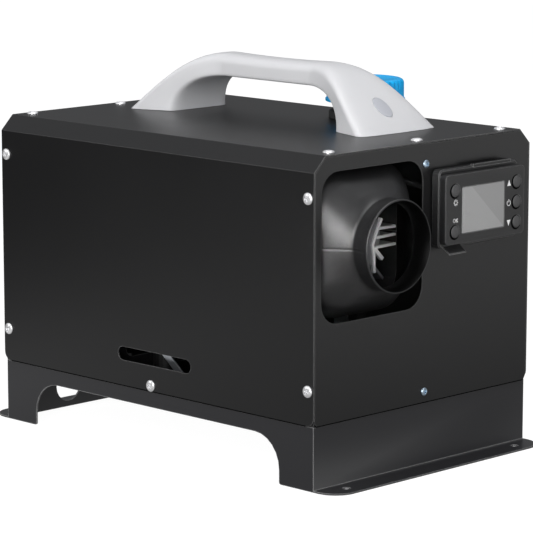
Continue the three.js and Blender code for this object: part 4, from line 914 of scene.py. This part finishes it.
BEZEL = dict(width=100.4, height=58.6, radius=4)
KEYS = dict(radius=5.25, left=-37.8, right=40.4, z=-1.4, pitch=17.2)
KEY_PLACES = {
    "button_up": (KEYS["right"], KEYS["z"] + KEYS["pitch"]),
    "button_power": (KEYS["right"], KEYS["z"]),
    "button_down": (KEYS["right"], KEYS["z"] - KEYS["pitch"]),
    "button_settings": (KEYS["left"], KEYS["z"] + KEYS["pitch"]),
    "button_ok": (KEYS["left"], KEYS["z"] - KEYS["pitch"]),
}


def make_keys():
    """Each key: a stem, a flange that the bezel holds and a domed top."""
    for node, (y, z) in KEY_PLACES.items():
        low, high = node_box(node)
        back, top, r = low[0], high[0], KEYS["radius"]
        flange = BEZEL_HIGH[0] - 2
        profile = [
            (back, 0.001), (back, 2), (flange - 1.6, 2), (flange - 1.6, r + 0.1),
            (flange - CLEARANCE, r + 0.1), (flange - CLEARANCE, r), (top - 1.5, r),
            (top - 1.15, r - 0.15), (top - 0.8, r - 0.6), (top - 0.5, r - 1.3),
            (top - 0.26, r - 2.3), (top - 0.1, r - 3.4), (top - 0.02, 1), (top, 0.001)]
        place = (0, BEZEL_Y + y, BEZEL_Z + z)
        key = turned(node + "_key", profile, place, "x", "key_rubber", 48, 50)
        set_in(key, node)


def make_key_shadows():
    """A painted shadow beside each key: a thin black ring with its outer circle moved down and
    sideways, so a dark crescent lies left of and below the key.
    """
    low, high, r = BEZEL_HIGH[0] - 0.4, BEZEL_HIGH[0] + 0.03, KEYS["radius"]
    inner = circle(48) * (r + 0.08)
    outer = circle(48) * (r + 1.05) + np.array([-0.95, -0.35])
    for node, (y, z) in KEY_PLACES.items():
        middle = np.array([BEZEL_Y + y, BEZEL_Z + z])
        rings = [np.column_stack([np.full(48, x), ring + middle])
                 for ring, x in ((inner, low), (outer, low), (outer, high), (inner, high))]
        grid = np.array(rings)
        # the ring is painted shadow, black where the key's shade falls on the bezel
        gap = skin(node + "_painted_shadow", grid, "gap_and_shadow_black", closed_along=True)
        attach(gap, nodes["controller_bezel"]["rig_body"])


def make_bezel():
    """The bezel: a hollow rounded slab with a sight for the screen and a hole for each key."""
    back, face = BEZEL_LOW[0], BEZEL_HIGH[0]
    place = (0, BEZEL_Y, BEZEL_Z)
    bezel = slab("controller_face", BEZEL["width"], BEZEL["height"], BEZEL["radius"],
                 back, face, 0.7, place, "x", "black_plastic")
    hollow = slab("hollow", BEZEL["width"] - 5, BEZEL["height"] - 5, 2.5,
                  back - 5, face - 2, 0.4, place, "x", "black_plastic")
    sight = slab("sight", SCREEN["width"], SCREEN["height"], 1.2, back, face + 5, 0.01,
                 (0, BEZEL_Y + SCREEN["y"], BEZEL_Z + SCREEN["z"]), "x", "black_plastic", 4)
    hole = KEYS["radius"] + CLEARANCE
    drill = [(back, 0.001), (back, hole), (face + 5, hole), (face + 5, 0.001)]
    holes = [turned("hole_" + node, drill, (0, BEZEL_Y + y, BEZEL_Z + z), "x", "black_plastic", 48)
             for node, (y, z) in KEY_PLACES.items()]
    soften(carve(bezel, [hollow, sight, *holes]), 0.25, 2, 50)
    set_in(bezel, "controller_bezel")


# ---------------- screws

SCREW_AXES = {
    "x": Matrix.Rotation(math.pi / 2, 4, "Y"), "-x": Matrix.Rotation(-math.pi / 2, 4, "Y"),
    "-y": Matrix.Rotation(math.pi / 2, 4, "X"), "y": Matrix.Rotation(-math.pi / 2, 4, "X"),
    "z": Matrix.Identity(4),
}
SIDE_SCREWS = [(-186, 240), (186, 240), (-186, 83), (186, 83), (0, 59.2)]
ROOF_SCREWS = [(x, y) for x in (-182, 182) for y in (-105, 0, 105)]
FRONT_SCREWS = [(0, 255.6), (0, 63.6)]
REAR_SCREWS = [(y, z) for y in (-100, 100) for z in (255.6, 63.6)]
COVER_HEAD = dict(radius=5.0, height=2.2, look="screw_steel")
PANEL_HEAD = dict(radius=3.5, height=1.8, look="blue_zinc")


def screw_model(name, radius, height, look):
    """A pan head along +Z: a dome on a short rim, with a tapered cross sunk in it."""
    dome = [(height * (0.28 + 0.72 * math.sin(u)), radius * math.cos(u) + 0.001)
            for u in np.linspace(0, 1, 9) * math.pi / 2]
    profile = [(-1.0, 0.001), (-1.0, radius * 0.5), (0.0, radius * 0.5), (0.0, radius - 0.15),
               (0.15, radius)]
    head = turned(name, profile + dome, (0, 0, 0), "z", look, 40, 40)
    reach, half, deep, over = radius * 0.66, radius * 0.15, height * 0.2, height + 1
    tip = reach * 0.45
    corners = np.array([
        (-reach, -half, over), (reach, -half, over), (reach, half, over), (-reach, half, over),
        (-tip, -half, deep), (tip, -half, deep), (tip, half, deep), (-tip, half, deep)])
    faces = [(0, 1, 2, 3), (7, 6, 5, 4), (4, 5, 1, 0), (5, 6, 2, 1), (6, 7, 3, 2), (7, 4, 0, 3)]
    blades = []
    for turn in (0, math.pi / 2):
        c, s = math.cos(turn), math.sin(turn)
        spin = np.array([[c, s, 0], [-s, c, 0], [0, 0, 1]])
        blades.append(new_piece(f"blade_{len(blades)}", corners @ spin, faces, look))
    return carve(head, blades)


def drive_screws(kind, head, node, places):
    """One screw at each place, each turned by its own amount, all on the node's body."""
    model = screw_model(kind, **head)
    for number, (place, axis) in enumerate(places):
        mesh = model.data.copy()
        turn = Matrix.Rotation(0.55 + 1.27 * number, 4, "Z")
        mesh.transform(Matrix.Translation(Vector(place) / METRE) @ SCREW_AXES[axis] @ turn)
        mesh.update()
        screw = add_object(f"{kind}_{number}", mesh)
        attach(screw, nodes[node]["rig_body"])
    bpy.data.objects.remove(model)


def make_screws():
    """The cover's screws on its sides and roof, and the panels' screws front and rear."""
    places = []
    for side, axis in ((-1, "-y"), (1, "y")):
        places += [((MIDDLE_X + x, side * SIDE_Y, z), axis) for x, z in SIDE_SCREWS]
    places += [((MIDDLE_X + x, y, ROOF_Z), "z") for x, y in ROOF_SCREWS]
    drive_screws("cover_screw", COVER_HEAD, "top_cover", places)
    front = [((FRONT_FACE, y, z), "x") for y, z in FRONT_SCREWS]
    drive_screws("front_screw", PANEL_HEAD, "front_panel", front)
    rear = [((REAR_FACE, y, z), "-x") for y, z in REAR_SCREWS]
    drive_screws("rear_screw", PANEL_HEAD, "rear_panel", rear)


# ---------------- printed signs and fin ends


def arc(cx, cy, radius, start, end, steps=16):
    """Points of an arc between two angles in degrees."""
    a = np.radians(np.linspace(start, end, steps + 1))
    return np.column_stack([cx + radius * np.cos(a), cy + radius * np.sin(a)])


def bars(name, lines, low, high, width, look):
    """Each run of (y, z) points becomes a chain of bars of one width between two places in x."""
    sides = ((3, 2, 1, 0), (4, 5, 6, 7), (0, 1, 5, 4), (1, 2, 6, 5), (2, 3, 7, 6), (3, 0, 4, 7))
    points, faces = [], []
    for line in lines:
        line = np.asarray(line, float)
        for a, b in zip(line[:-1], line[1:]):
            along = (b - a) / np.linalg.norm(b - a)
            side = np.array([-along[1], along[0]]) * width / 2
            start, end = a - along * width * 0.18, b + along * width * 0.18
            corners = (start - side, end - side, end + side, start + side)
            base = len(points)
            points += [(x, *corner) for x in (low, high) for corner in corners]
            faces += [tuple(base + k for k in quad) for quad in sides]
    return new_piece(name, points, faces, look)


def sign(name, lines, y, z, width):
    """A mark printed on the bezel, centred beside a key."""
    centre = np.array([BEZEL_Y + y, BEZEL_Z + z])
    lines = [np.asarray(line, float) + centre for line in lines]
    piece = bars(name, lines, BEZEL_HIGH[0] - 0.02, BEZEL_HIGH[0] + 0.05, width, "print_white")
    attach(piece, nodes["controller_bezel"]["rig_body"])


FIN_ENDS = {
    "web_edge": ([[(-30.5, 211), (-38, 197), (-41, 190), (-39.4, 183), (-38.8, 167)]], 2.6),
    "fin_edges": ([[(-34, 203.1), (-14, 202.9)], [(-36, 195.6), (-13.8, 196.2)],
                   [(-36, 187.6), (-13.7, 188.1)]], 2.3),
    "web_tongue": ([[(-38.6, 186.8), (-29.2, 177.4)]], 3.4),
}


def make_fin_edges():
    """The bare ends of the exchanger's fins and their web, seen through the nozzle."""
    low, high = EXCHANGER_FACE - 1.5, EXCHANGER_FACE + 1.8
    for name, (lines, width) in FIN_ENDS.items():
        piece = bars(name, lines, low, high, width, "bare_aluminium")
        soften(piece, 0.3)
        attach(piece, nodes["heat_exchanger"]["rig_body"])


def make_signs():
    """Beside the keys: up, power and down on the right, a gear and OK on the left."""
    right, left = KEYS["right"] - 10.4, KEYS["left"] + 0.2
    for name, z, up in (("sign_up", KEYS["pitch"] - 0.4, 1), ("sign_down", -KEYS["pitch"], -1)):
        rows = []
        for u in np.linspace(0, 1, 7):
            half, height = 2.0 * (1 - u) + 0.05, up * (4.2 * u - 2.1)
            rows.append([(-half, height), (half, height)])
        sign(name, rows, right, KEYS["z"] + z, 0.74)
    power = [arc(0, -0.3, 2.2, 125, 415), [(0, 0.4), (0, 2.7)]]
    sign("sign_power", power, right, KEYS["z"], 0.75)
    teeth = [[tuple(1.7 * spoke), tuple(2.6 * spoke)] for spoke in circle(8)]
    sign("sign_gear", [arc(0, 0, 1.6, 0, 360), *teeth], left, KEYS["z"] + KEYS["pitch"] - 10, 0.75)
    ring = [(-1.75 + 1.25 * math.cos(a), 1.5 * math.sin(a))
            for a in np.linspace(0, 2 * math.pi, 17)]
    letter_k = [[(0.6, -1.5), (0.6, 1.5)], [(2.5, 1.5), (0.8, -0.1)], [(1.2, 0.35), (2.6, -1.5)]]
    sign("sign_ok", [ring, *letter_k], left, KEYS["z"] - KEYS["pitch"] + 9.4, 0.7)


# ---------------- housing

CORNER_CUT = (9, 3.5)
TAB_REACH, TAB_DROP = 7.5, 2.6


def make_joint_line():
    """The dark gap between the housing and the base: a thin matt band round the housing's foot."""
    reach = max(FRONT_FACE, COVER_HIGH[0]) - MIDDLE_X
    middle = np.array([MIDDLE_X, 0])
    grid = []
    bottom, top = FLOOR_Z - 0.2, FLOOR_Z + 0.7
    for sx, sy in ((1, 1), (-1, 1), (-1, -1), (1, -1)):
        ends = [(reach, SIDE_Y - CORNER_CUT[1]), (reach - CORNER_CUT[0], SIDE_Y)]
        for x, y in ends if sx * sy > 0 else ends[::-1]:
            outer = middle + np.array([sx * (x + 0.05), sy * (y + 0.05)])
            inner = middle + np.array([sx * (x - 0.3), sy * (y - 0.3)])
            grid.append([(*outer, bottom), (*outer, top), (*inner, top), (*inner, bottom)])
    band = skin("joint_line", np.array(grid, float), "gap_and_shadow_black", closed_along=True)
    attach(band, nodes["base_frame"]["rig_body"])


def make_rest():
    """CAD nodes with the right shape: the ones that show get rounded edges, the others a finish.
    The release tab under the control panel's holder hangs lower towards its free end."""
    holder = from_cad("controller_holder", slots["controller_holder"], 0.3)
    low, high = node_box("controller_holder")
    for vertex in holder.data.vertices:
        out = (vertex.co.x * METRE - (high[0] - TAB_REACH)) / TAB_REACH
        if out > 0.05 and vertex.co.z * METRE < low[2] + 8:
            vertex.co.z -= TAB_DROP * out / METRE
    cover = from_cad("top_cover", slots["top_cover"])
    mark_bends(cover.data, 0.35)
    soften(cover, 1.0, 3).modifiers["edge"].limit_method = "WEIGHT"
    for node, width in {
        "front_panel": 0.35, "rear_panel": 0.3, "floor_pan": 0.2, "base_frame": 0.35,
        "power_gland": 0.3, "heat_exchanger": 0.25, "bench_brace": 0.2,
    }.items():
        from_cad(node, slots[node], width)
    for node, piece in nodes.items():
        if not piece.hide_render:
            piece.data.materials.clear()
            piece.data.materials.append(LOOKS[slots[node]])


make_camera()
make_studio()
make_handle()
make_hood()
make_cap()
make_collar()
make_keys()
make_bezel()
make_key_shadows()
make_screws()
make_signs()
make_fin_edges()
make_joint_line()
make_rest()
